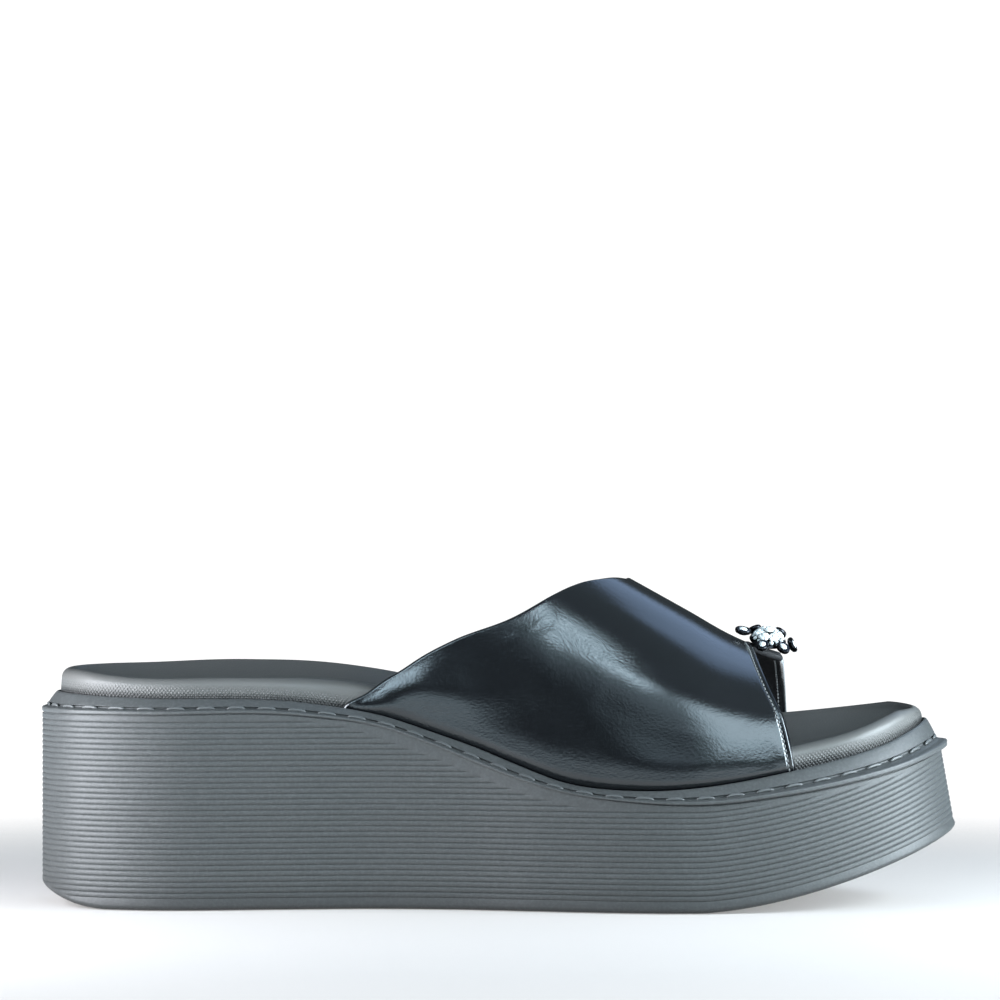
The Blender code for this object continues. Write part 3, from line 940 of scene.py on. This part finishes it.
def sole_surface(columns, pitch, depth):
    """Rows of the wedge: a quarter-round bottom edge, then a rib's section repeated up the wall.
    Ribs run level with the toe spring and are cut off where the sloping rim crosses them."""
    bottom = bottom_height(columns.station)
    turn = np.linspace(0, math.pi / 2, BOTTOM_EDGE_ROWS)[:, None]
    edge_height = bottom + BOTTOM_EDGE * (1 - np.cos(turn))
    edge = rings(columns, -BOTTOM_EDGE * (1 - np.sin(turn)) + 0 * bottom, edge_height)
    along, share = column_of(RIB_SECTION, 0), column_of(RIB_SECTION, 1)
    levels = PLAIN_BAND + ((np.arange(HEEL_RIB_COUNT)[:, None] + along) * pitch).reshape(-1, 1)
    sunk = np.tile(share, HEEL_RIB_COUNT)[:, None] * depth
    lowest = bottom + BOTTOM_EDGE
    highest = columns.rim - PLAIN_RIM - SLOPE_BAND * on_slope(columns.station)
    level = toe_spring(columns.station) + levels
    inside = smooth_step(0, RIB_FADE, highest - level) * smooth_step(0, RIB_FADE, level - lowest)
    height = np.clip(level, lowest, highest)
    wall = rings(columns, wall_offset(columns, height) - sunk * inside, height)
    top_height = np.stack([highest, columns.rim - RIM_SUPPORT, columns.rim])
    top = rings(columns, wall_offset(columns, top_height), top_height)
    return np.concatenate([edge, wall, top])


class MULE_OT_sole(bpy.types.Operator):
    """Build the ribbed wedge sole"""

    bl_idname = "mule.sole"
    bl_label = "Sole"

    def execute(self, context):
        sizes, colours = context.scene.mule_sizes, context.scene.mule_colours
        surface = sole_surface(sole_columns(SOLE_COLUMNS), sizes.rib_pitch / MM, sizes.rib_depth / MM)
        rows, columns = surface.shape[:2]
        faces = capped_faces(rows, columns)
        dust = scaled(colours.sole, SOLE_DUST)
        finish = moulded_rubber("moulded_rubber_foam", colours.sole, dust, SOLE_ROUGHNESS)
        obj = make_piece("sole_unit", surface, faces, [finish], "sole_rubber", sharp_deg=50.0)
        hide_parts("sole")
        return {"FINISHED"}


# The welt and its stitches


def welt_surface(columns):
    """Closed section carried round the rim: a cubic through the section's rows in reach and height."""
    lip = FOOTBED_INSET + LIP_OVERHANG_BASE + LIP_OVERHANG_PER_LEAN * columns.lean
    foot = columns.rim - WELT_SEAT
    flat = np.ones_like(lip)
    reach = [row[0] * flat for row in WELT_SECTION]
    height = [columns.rim + row[1] * columns.welt for row in WELT_SECTION]
    groove = FOOTBED_INSET - RIM_GROOVE * (1 - on_slope(columns.station))
    reach = [WELT_SECTION[0][0] * flat, *reach, lip - LIP_ROUND, lip, lip - LIP_ROUND, groove, groove]
    height = [
        foot,
        *height,
        columns.rim + (LIP_CREST + LIP_ABOVE_CREST) * columns.welt,
        columns.rim + LIP_CREST * columns.welt,
        columns.rim + (LIP_CREST - LIP_BELOW_CREST) * columns.welt,
        columns.rim + RIM_GROOVE_HEIGHT,
        foot,
    ]
    nodes = np.arange(len(reach), dtype=float)
    at = np.linspace(0, nodes[-1], WELT_ROWS)
    weights = np.stack([smooth_through(nodes, one, at) for one in np.eye(len(nodes))], -1)
    offset = weights @ np.stack(reach) - FOOTBED_INSET - columns.lean
    return rings(columns, offset, np.maximum(weights @ np.stack(height), foot))


class MULE_OT_welt(bpy.types.Operator):
    """Build the welt and the row of stitches in its channel"""

    bl_idname = "mule.welt"
    bl_label = "Welt"

    def execute(self, context):
        sizes, colours = context.scene.mule_sizes, context.scene.mule_colours
        columns = sole_columns(SOLE_COLUMNS)
        surface = welt_surface(columns)
        rows, count = surface.shape[:2]
        dust = scaled(colours.welt, WELT_DUST)
        finish = moulded_rubber("moulded_rubber_welt", colours.welt, dust, WELT_ROUGHNESS)
        faces = grid_faces(rows, count, wrap_rows=True)
        obj = make_piece("welt_ring", surface, faces, [finish], "welt_rubber")
        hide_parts("welt")
        channel = rings(
            columns,
            STITCH_CHANNEL_REACH - FOOTBED_INSET - columns.lean,
            columns.rim + STITCH_CHANNEL_HEIGHT * columns.welt,
        )
        path = np.concatenate([channel, channel[:1]])
        centres, along, _ = evenly_along(path, sizes.welt_stitch_pitch / MM)
        up = np.tile([0.0, 0.0, 1.0], (len(centres), 1))
        length = sizes.welt_stitch_length / MM
        points, faces = stitches(
            centres, along, up, length, WELT_STITCH_RADIUS, WELT_STITCH_ARCH, WELT_STITCH_TWIST
        )
        thread = waxed_thread("waxed_welt_thread", colours.thread, scaled(colours.thread, THREAD_PLY))
        make_piece("welt_stitches", points, faces, [thread], "welt_rubber")
        return {"FINISHED"}


# The padded footbed


def slot_width(columns, wall):
    """Room for the upper's lasted edge beside the footbed, with a ramp at each end of it."""
    medial = columns.normal[:, 1] > 0
    first = np.where(medial, MEDIAL_EDGES[-1][1], LATERAL_EDGES[0][1])
    last = np.where(medial, MEDIAL_EDGES[-1][2], LATERAL_EDGES[0][2])
    opening = smooth_step(first - SLOT_LEAD - SLOT_RAMP, first - SLOT_LEAD, columns.station)
    closing = 1 - smooth_step(last + SLOT_LEAD, last + SLOT_LEAD + SLOT_RAMP, columns.station)
    return (wall + GAP) * opening * closing


def footbed_height(columns, station, inward):
    """Top of the pad: from the rim, where inward is 0, down to the middle as (1 - inward) squared."""
    lateral, middle, medial = (table_value(FOOTBED_SECTIONS, i, station) for i in (1, 2, 3))
    rim = lateral + (medial - lateral) * (1 + columns.normal[:, 1]) / 2
    return middle + (rim - middle) * (1 - inward) ** 2


def footbed_surface(columns, wall):
    """Rows of the pad: upright side, quarter-round shoulder, then rows that close on the spine."""
    edge = -slot_width(columns, wall)
    rim_top = footbed_height(columns, columns.station, 0.0)
    floor = columns.rim + GAP
    up = np.linspace(0, 1, FOOTBED_SIDE_ROWS)[:, None]
    inset = edge - FOOTBED_INSET - columns.lean
    belly = FOOTBED_BELLY * np.sin(math.pi * up)
    side = rings(columns, inset + belly, floor + (rim_top - FOOTBED_SHOULDER - floor) * up)
    turn = np.linspace(0, math.pi / 2, FOOTBED_SHOULDER_ROWS + 1)[1:, None]
    shoulder = rings(
        columns,
        inset - FOOTBED_SHOULDER * (1 - np.cos(turn)),
        rim_top - FOOTBED_SHOULDER * (1 - np.sin(turn)),
    )
    last = shoulder[-1]
    spine = (last + last[::-1]) / 2
    inward = np.linspace(0, 1, FOOTBED_TOP_ROWS + 1)[1:, None]
    top = last + (spine - last) * inward[..., None]
    top[..., 2] = footbed_height(columns, top[..., 0], inward)
    return np.concatenate([side, shoulder, top])


def wall_coordinates(surface, faces, columns):
    """UV in metres: U along the outer ring, V up the section from the welt's top; the closing column
    is unbroken."""
    round_it = path_lengths(np.concatenate([surface[0], surface[0][:1]]))
    section = np.linalg.norm(np.diff(surface, axis=0), axis=2)
    up = np.concatenate([np.zeros((1, surface.shape[1])), np.cumsum(section, axis=0)]) - columns.welt
    u = np.tile(round_it[:-1], surface.shape[0])[faces]
    u = np.where(u.max(1, keepdims=True) - u > round_it[-1] / 2, u + round_it[-1], u)
    return np.stack([u, up.ravel()[faces]], -1) * MM


class MULE_OT_footbed(bpy.types.Operator):
    """Build the padded footbed"""

    bl_idname = "mule.footbed"
    bl_label = "Footbed"

    def execute(self, context):
        sizes, colours = context.scene.mule_sizes, context.scene.mule_colours
        columns = sole_columns(FOOTBED_COLUMNS)
        surface = footbed_surface(columns, sizes.upper_wall / MM)
        rows, count = surface.shape[:2]
        faces = np.concatenate([grid_faces(rows, count), strip_faces(0, count)])
        worn = scaled(colours.footbed, FOOTBED_WORN)
        finish = footbed_cover(colours.footbed, worn, sizes.net_height / MM)
        uv = wall_coordinates(surface, faces, columns)
        obj = make_piece("footbed_pad", surface, faces, [finish], "footbed_cover", uv=uv)
        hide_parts("footbed")
        return {"FINISHED"}


# The upper and its edge stitches


def tuck_line(station, medial):
    """Plan points of the footbed's edge, one for each station, where the upper goes down."""
    share = np.arccos(1 - 2 * np.clip(station, 0, SOLE_LENGTH) / SOLE_LENGTH)
    angle = np.where(medial, 2 * math.pi - share, share)
    inset = FOOTBED_INSET + table_value(PROFILE, 3, station)
    return outline_points(angle) - outline_normals(angle) * inset[..., None]


def upper_surface(station, girth):
    """Outer face: reach and rise of a girth, scaled from the tuck line up to the ridge."""
    medial = girth > 0.5
    share = np.where(medial, 1 - girth, girth)
    rim = table_value(PROFILE, 1, station)
    welt_top = rim + table_value(PROFILE, 2, station) + TUCK_CLEARANCE
    reach, rise = (table_value(GIRTH, index, share) for index in (1, 2))
    tucked = rim + GAP + (welt_top - rim - GAP) * share / TUCK_SHARE
    risen = welt_top + (table_value(RIDGE, 1, station) - welt_top) * rise
    tuck = tuck_line(station, medial)
    along = station + (tuck[..., 0] - station) * np.minimum(reach, 1)
    across = RIDGE_SIDE + (tuck[..., 1] - RIDGE_SIDE) * reach
    return np.stack([along, across, np.where(share < TUCK_SHARE, tucked, risen)], -1)


def upper_frame(station, girth):
    """Outward normals and forward tangents, from small steps along the foot and round it."""
    along = upper_surface(station + FRAME_STEP, girth) - upper_surface(station - FRAME_STEP, girth)
    low, high = (np.clip(girth + step, 0, 1) for step in (-FRAME_GIRTH_STEP, FRAME_GIRTH_STEP))
    around = upper_surface(station, high) - upper_surface(station, low)
    return unit(np.cross(along, around)), unit(along)


def edge_station(girth, index):
    """Station of the collar (1) or of the toe opening (2), eased from one panel to the other."""
    lateral = table_value(LATERAL_EDGES, index, girth)
    medial = table_value(MEDIAL_EDGES, index, girth)
    return lateral + (medial - lateral) * smooth_step(*PANEL_STEP, girth)


def crease_height(station, girth):
    """Sum of soft ridges and troughs: each falls off as a bell curve from its own line and fades to
    nothing at the line's two ends."""
    total = np.zeros_like(station)
    place = np.stack([station, girth * GIRTH_LENGTH], -1)
    for start, start_share, end, end_share, width, height in CREASES:
        foot = np.array([start, start_share * GIRTH_LENGTH])
        line = np.array([end, end_share * GIRTH_LENGTH]) - foot
        share = np.clip((place - foot) @ line / (line @ line), 0, 1)
        apart = np.linalg.norm(place - foot - share[..., None] * line, axis=-1)
        taper = 1 - (2 * share - 1) ** 2
        total += height * taper * np.exp(-((apart / width) ** 2))
    return total


def edge_relief(from_edge):
    """Rolled edge of the toe opening and the sunk line of its stitches, as two bell curves."""
    roll = EDGE_ROLL_HEIGHT * np.exp(-(((from_edge - EDGE_ROLL) / EDGE_ROLL_WIDTH) ** 2))
    return roll - STITCH_LINE_DEPTH * np.exp(-(((from_edge - STITCH_LINE) / STITCH_LINE_WIDTH) ** 2))


def upper_loops(wall, crease_depth):
    """One closed loop for each girth: outer face forwards, round the toe edge, inner face back,
    round the collar. The two edges are half circles of the wall's thickness."""
    radius = wall / 2
    girth = np.linspace(0, 1, UPPER_COLUMNS)
    collar = edge_station(girth, 1) + radius
    opening = edge_station(girth, 2) - radius
    near_edge = np.linspace(0, TOE_EDGE_LENGTH, TOE_EDGE_POINTS)
    far = np.linspace(0, 1, UPPER_FACE_POINTS + 1)[1:]
    length = (opening - collar)[:, None]
    back = near_edge[-1] + (length - near_edge[-1]) * far
    from_edge = np.concatenate([near_edge + 0 * length, back], 1)[:, ::-1]
    station = opening[:, None] - from_edge
    around = np.broadcast_to(girth[:, None], station.shape)
    normal, forward = upper_frame(station, around)
    up_side = np.minimum(around, 1 - around)
    near_collar = 1 - np.clip((station - collar[:, None]) / COLLAR_BEND_WIDTH, 0, 1)
    bend = COLLAR_BEND * near_collar**2 * (1 - smooth_step(*COLLAR_BEND_SHARES, up_side))
    face = upper_surface(station, around) - bend[..., None] * normal
    relief = crease_height(station, around) * crease_depth
    relief = relief * smooth_step(0, EDGE_EASE, from_edge)
    relief = relief * smooth_step(TUCK_SHARE, TUCK_EASE_SHARE, up_side)
    relief = relief * smooth_step(0, COLLAR_EASE, station - collar[:, None])
    relief = relief + edge_relief(from_edge + radius)
    middle = face - radius * normal
    outer = middle + (radius + relief)[..., None] * normal
    inner = (middle - radius * normal)[:, ::-1]
    turn = (np.arange(EDGE_ARC_POINTS) + 0.5)[None, :, None] * math.pi / EDGE_ARC_POINTS
    front = middle[:, -1:] + radius * (np.cos(turn) * normal[:, -1:] + np.sin(turn) * forward[:, -1:])
    rear = middle[:, :1] + radius * (-np.cos(turn) * normal[:, :1] - np.sin(turn) * forward[:, :1])
    half = EDGE_ARC_POINTS // 2
    loop = np.concatenate([rear[:, half:], outer, front, inner, rear[:, :half]], 1)
    lined = np.zeros(loop.shape[1], int)
    first = EDGE_ARC_POINTS - half + outer.shape[1] + EDGE_ARC_POINTS
    lined[first:first + inner.shape[1] - 1] = 1
    return loop, lined


def edge_row(girths, inset, wall, inside):
    """A line of points along the toe edge, inset mm from it, on the outer or the inner face."""
    station = edge_station(girths, 2) - inset
    normal, _ = upper_frame(station, girths)
    depth = wall if inside else STITCH_LINE_DEPTH * STITCH_SINK
    return upper_surface(station, girths) - depth * normal, normal * (-1 if inside else 1)


def stitch_row(girths, inset, wall, inside, sizes):
    """Even stitches along one row at the toe edge."""
    path, normal = edge_row(girths, inset, wall, inside)
    centres, along, at = evenly_along(path, sizes.edge_stitch_pitch / MM)
    lengths = path_lengths(path)
    up = unit(np.stack([np.interp(at, lengths, normal[:, axis]) for axis in range(3)], -1))
    length = sizes.edge_stitch_length / MM
    return stitches(centres, along, up, length, EDGE_STITCH_RADIUS, EDGE_STITCH_ARCH)


class MULE_OT_upper(bpy.types.Operator):
    """Build the polished upper and the stitches along its toe edge"""

    bl_idname = "mule.upper"
    bl_label = "Upper"

    def execute(self, context):
        sizes, colours = context.scene.mule_sizes, context.scene.mule_colours
        wall = sizes.upper_wall / MM
        loops, lined = upper_loops(wall, sizes.crease_depth)
        rows, count = loops.shape[:2]
        faces = capped_faces(rows, count)
        step = np.abs(np.linspace(0, 1, rows)[1:] - STEP_SHARE) < STEP_HALF_SHARE
        dull = step[:, None] & (np.abs(np.arange(count) - np.argmax(lined)) < STEP_EDGE_LOOPS)
        skin = np.maximum(lined, dull).ravel()
        finish_of_face = np.concatenate([skin, np.zeros(len(faces) - len(skin), int)])
        finishes = [
            polished_leather(colours.leather, scaled(colours.leather, LEATHER_WAX)),
            lining_leather(colours.lining, scaled(colours.lining, LINING_WORN)),
        ]
        obj = make_piece(
            "upper_shell", loops, faces, finishes, "upper_leather", finish_of_face=finish_of_face
        )
        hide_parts("upper")
        shapes = [
            stitch_row(np.linspace(*girths, STITCH_PATH_POINTS), STITCH_LINE, wall, inside, sizes)
            for girths in (LATERAL_STITCHES, MEDIAL_STITCHES)
            for inside in (False, True)
        ]
        # Painted highlight: the edge stitches are painted lighter than the thread's own colour
        tones = (scaled(colours.thread, factor) for factor in EDGE_THREAD_TONES)
        thread = waxed_thread("waxed_edge_thread", *tones)
        make_piece("upper_stitches", *join_shapes(shapes), [thread], "upper_leather")
        return {"FINISHED"}


# The flower of stones


def ornament_place():
    """Matrix, in millimetres, from the flower's own axes to the shoe's."""
    place = Vector((ORNAMENT_STATION, ORNAMENT_SIDE, ORNAMENT_BASE_HEIGHT))
    tilt = Matrix.Rotation(math.radians(ORNAMENT_TILT_DEG), 4, "Y")
    lean = Matrix.Rotation(math.radians(ORNAMENT_LEAN_DEG), 4, "X")
    return Matrix.Translation(place) @ tilt @ lean


def around_axis(seat, angle, radius, rise, droop):
    """A seat at a radius from another's axis, whose outer end droops."""
    spin = Matrix.Rotation(math.radians(angle), 4, "Z")
    out = Matrix.Translation(Vector((radius, 0, rise)))
    return seat @ spin @ out @ Matrix.Rotation(math.radians(droop), 4, "Y")


def petal_seats():
    """Middle of each petal: half its length out from the inner end, along the drooping petal."""
    middle = Matrix.Translation(Vector((PETAL_LENGTH / 2, 0, 0)))
    place = ornament_place()
    seats = [around_axis(place, angle, PETAL_INNER_RADIUS, PETAL_RISE, droop) for angle, droop in PETALS]
    return [seat @ middle for seat in seats]


def grain_seats():
    """Each bead is a knot of small stones: one on top and a ring that leans outwards round it. A skirt
    of stones goes round under all of them."""
    place = ornament_place()
    turns = np.arange(SKIRT_COUNT) * 360 / SKIRT_COUNT
    seats = [around_axis(place, turn, SKIRT_ORBIT, SKIRT_RISE, SKIRT_LEAN_DEG) for turn in turns]
    for bead in range(BEAD_COUNT):
        knot = around_axis(place, bead * 360 / BEAD_COUNT, BEAD_ORBIT, BEAD_RISE, GRAIN_LEAN_DEG / 2)
        seats.append(knot @ Matrix.Translation(Vector((0, 0, BEAD_SIZE * GRAIN_TOP_RISE))))
        for grain in range(GRAIN_COUNT):
            angle, radius = grain * 360 / GRAIN_COUNT, GRAIN_ORBIT * BEAD_SIZE
            seats.append(around_axis(knot, angle, radius, BEAD_SIZE * GRAIN_RING_RISE, GRAIN_LEAN_DEG))
    return seats


def placed(points, matrix):
    """Points turned and moved by a matrix."""
    matrix = np.array(matrix)
    return points @ matrix[:3, :3].T + matrix[:3, 3]


def turned(profile, sides):
    """A profile of radius, height and turn carried round the axis."""
    radius, height, turn = (column_of(profile, index)[:, None] for index in (0, 1, 2))
    angle = (np.arange(sides) + turn) * 2 * math.pi / sides
    points = np.stack([radius * np.cos(angle), radius * np.sin(angle), height + 0 * angle], -1)
    return points, grid_faces(len(profile), sides)


def cut_stone(length, width, seat):
    """A brilliant: pavilion, girdle, crown and table, with rows half a step round from each other."""
    points, faces = turned(BRILLIANT_SECTION, STONE_SIDES)
    return placed(points * (length, width, width), seat), faces


class MULE_OT_ornament(bpy.types.Operator):
    """Build the flower of stones with its setting"""

    bl_idname = "mule.ornament"
    bl_label = "Ornament"

    def execute(self, context):
        colours = context.scene.mule_colours
        base, petals = ornament_place(), petal_seats()
        shapes = []
        points, faces = turned(SETTING_PROFILE, ROUND_SIDES)
        shapes.append((placed(points, base), faces))
        points, faces = turned(CUP_PROFILE, ROUND_SIDES)
        for seat in petals:
            shapes.append((placed(points * (PETAL_LENGTH, PETAL_WIDTH, PETAL_WIDTH), seat), faces))
        metal = gunmetal_plate(colours.metal, scaled(colours.metal, PLATE_RUB))
        obj = make_piece(
            "ornament_mount", *join_shapes(shapes), [metal], "ornament_metal", sharp_deg=40.0
        )
        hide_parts("ornament_setting")
        # The stones' finish paints their reflection and the shade on some facets
        crystal = cut_glass("foiled_crystal", colours.crystal, colours.crystal_shade)
        lift = Matrix.Translation(Vector((0, 0, PETAL_STONE_LIFT)))
        size = np.array([PETAL_LENGTH, PETAL_WIDTH]) * PETAL_STONE_SHARE
        stones = [cut_stone(*size, seat @ lift) for seat in petals]
        obj = make_piece("petal_stones", *join_shapes(stones), [crystal], "ornament_stone", sharp_deg=0.0)
        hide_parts(*(f"ornament_petal_{number + 1}" for number in range(len(PETALS))))
        grain = BEAD_SIZE * GRAIN_SHARE
        stones = [cut_stone(grain, grain, seat) for seat in grain_seats()]
        crown = base @ Matrix.Translation(Vector((0, 0, CROWN_RISE)))
        stones.append(cut_stone(CROWN_SIZE, CROWN_SIZE, crown))
        obj = make_piece("stone_cluster", *join_shapes(stones), [crystal], "ornament_stone", sharp_deg=0.0)
        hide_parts("ornament_crown", *(f"ornament_bead_{n + 1}" for n in range(BEAD_COUNT)))
        return {"FINISHED"}


# The studio


def soft_box(scene, name, bearing, elevation, distance, width, height, radiance, colour):
    """An area light on a sphere about the shoe, aimed at it; watts are radiance times pi times area."""
    light = bpy.data.lights.new(name, "AREA")
    light.shape = "RECTANGLE"
    light.size, light.size_y = width, height
    light.energy = radiance * math.pi * width * height
    light.color = linear(colour)
    turn, rise = math.radians(bearing), math.radians(elevation)
    away = Vector((math.sin(turn) * math.cos(rise), -math.cos(turn) * math.cos(rise), math.sin(rise)))
    box = bpy.data.objects.new(name, light)
    box.location = AIM + away * distance
    box.rotation_euler = away.to_track_quat("Z", "Y").to_euler()
    box.visible_camera = False
    scene.collection.objects.link(box)


def studio_room(scene):
    """A dim room for reflections, in front of a backdrop that is white wherever the camera looks."""
    world = bpy.data.worlds.new("studio_room")
    world.use_nodes = True
    tree = world.node_tree
    add = partial(add_node, tree)
    direction = add("TexCoord", {}).outputs["Generated"]
    up = add("SeparateXYZ", {"Vector": direction}).outputs["Z"]
    low, high = CEILING_RISE
    ceiling = add(
        "MapRange",
        {"Value": up, "From Min": low, "From Max": high, "To Min": ROOM_WALL, "To Max": ROOM_CEILING},
    )
    low, high = GROUND_FALL
    ground = add("MapRange", {"Value": up, "From Min": low, "From Max": high, "To Max": ROOM_GROUND})
    strength = add("Math", {0: ceiling, 1: ground}, operation="ADD")
    tone = opaque(linear(ROOM_COLOUR))
    room = wire(tree, tree.nodes["Background"], {"Color": tone, "Strength": strength})
    backdrop = add("Background", {"Color": (1.0, 1.0, 1.0, 1.0), "Strength": BACKDROP_STRENGTH})
    camera_ray = add("LightPath", {}).outputs["Is Camera Ray"]
    both = add("MixShader", {"Fac": camera_ray, 1: room, 2: backdrop})
    wire(tree, tree.nodes["World Output"], {"Surface": both})
    scene.world = world


def studio_floor(scene, finish):
    """A disc of paper: rings of points about the origin, just under the sole."""
    radius = np.array([0.0, FLOOR_FADE_START, FLOOR_RADIUS])[:, None]
    angle = np.linspace(0, 2 * math.pi, FLOOR_SIDES, endpoint=False)[None, :]
    places = np.stack([radius * np.cos(angle), radius * np.sin(angle), 0 * radius * angle - FLOOR_DROP], -1)
    mesh = bpy.data.meshes.new("studio_floor")
    faces = grid_faces(len(radius), FLOOR_SIDES)
    mesh.from_pydata((places.reshape(-1, 3) * MM).tolist(), [], faces.tolist())
    mesh.materials.append(finish)
    floor = bpy.data.objects.new("studio_floor", mesh)
    scene.collection.objects.link(floor)


def photo_camera(scene):
    """A level camera at the photograph's distance and height, square to the lateral side."""
    lens = bpy.data.cameras.new("photo_camera")
    lens.sensor_width = SENSOR_WIDTH
    lens.lens = SENSOR_WIDTH * FOCAL_LENGTH_PX / IMAGE_WIDTH_PX
    camera = bpy.data.objects.new("photo_camera", lens)
    camera.location = (np.array([CAMERA_STATION, -CAMERA_DISTANCE, CAMERA_HEIGHT]) - ORIGIN) * MM
    camera.rotation_euler = (math.pi / 2, 0, 0)
    scene.collection.objects.link(camera)
    scene.camera = camera


class MULE_OT_studio(bpy.types.Operator):
    """Set up the pale floor, the soft boxes and the camera"""

    bl_idname = "mule.studio"
    bl_label = "Studio"

    def execute(self, context):
        scene = context.scene
        studio_room(scene)
        studio_floor(scene, seamless_paper(scene.mule_colours.paper))
        for box in SOFT_BOXES:
            soft_box(scene, *box)
        photo_camera(scene)
        scene.view_settings.view_transform = "Standard"
        return {"FINISHED"}


class VIEW3D_PT_mule(bpy.types.Panel):
    """Lists the mule's pieces, sizes and colours"""

    bl_label = "Platform mule"
    bl_space_type = "VIEW_3D"
    bl_region_type = "UI"
    bl_category = "Mule"

    def draw(self, context):
        for operator in OPERATORS:
            self.layout.operator(operator.bl_idname)
        for group in (context.scene.mule_sizes, context.scene.mule_colours):
            for name in group.bl_rna.properties.keys():
                if name not in ("rna_type", "name"):
                    self.layout.prop(group, name)


OPERATORS = (
    MULE_OT_sole,
    MULE_OT_welt,
    MULE_OT_footbed,
    MULE_OT_upper,
    MULE_OT_ornament,
    MULE_OT_studio,
)
CLASSES = (MuleSizes, MuleColours, *OPERATORS, VIEW3D_PT_mule)


def register():
    """Registers the classes and gives each scene its sizes and colours."""
    for one in CLASSES:
        bpy.utils.register_class(one)
    bpy.types.Scene.mule_sizes = PointerProperty(type=MuleSizes)
    bpy.types.Scene.mule_colours = PointerProperty(type=MuleColours)


def unregister():
    """Undoes register, last first."""
    del bpy.types.Scene.mule_colours
    del bpy.types.Scene.mule_sizes
    for one in reversed(CLASSES):
        bpy.utils.unregister_class(one)


def main():
    """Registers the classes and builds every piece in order."""
    register()
    bpy.ops.mule.sole()
    bpy.ops.mule.welt()
    bpy.ops.mule.footbed()
    bpy.ops.mule.upper()
    bpy.ops.mule.ornament()
    bpy.ops.mule.studio()


if __name__ == "__main__":
    main()
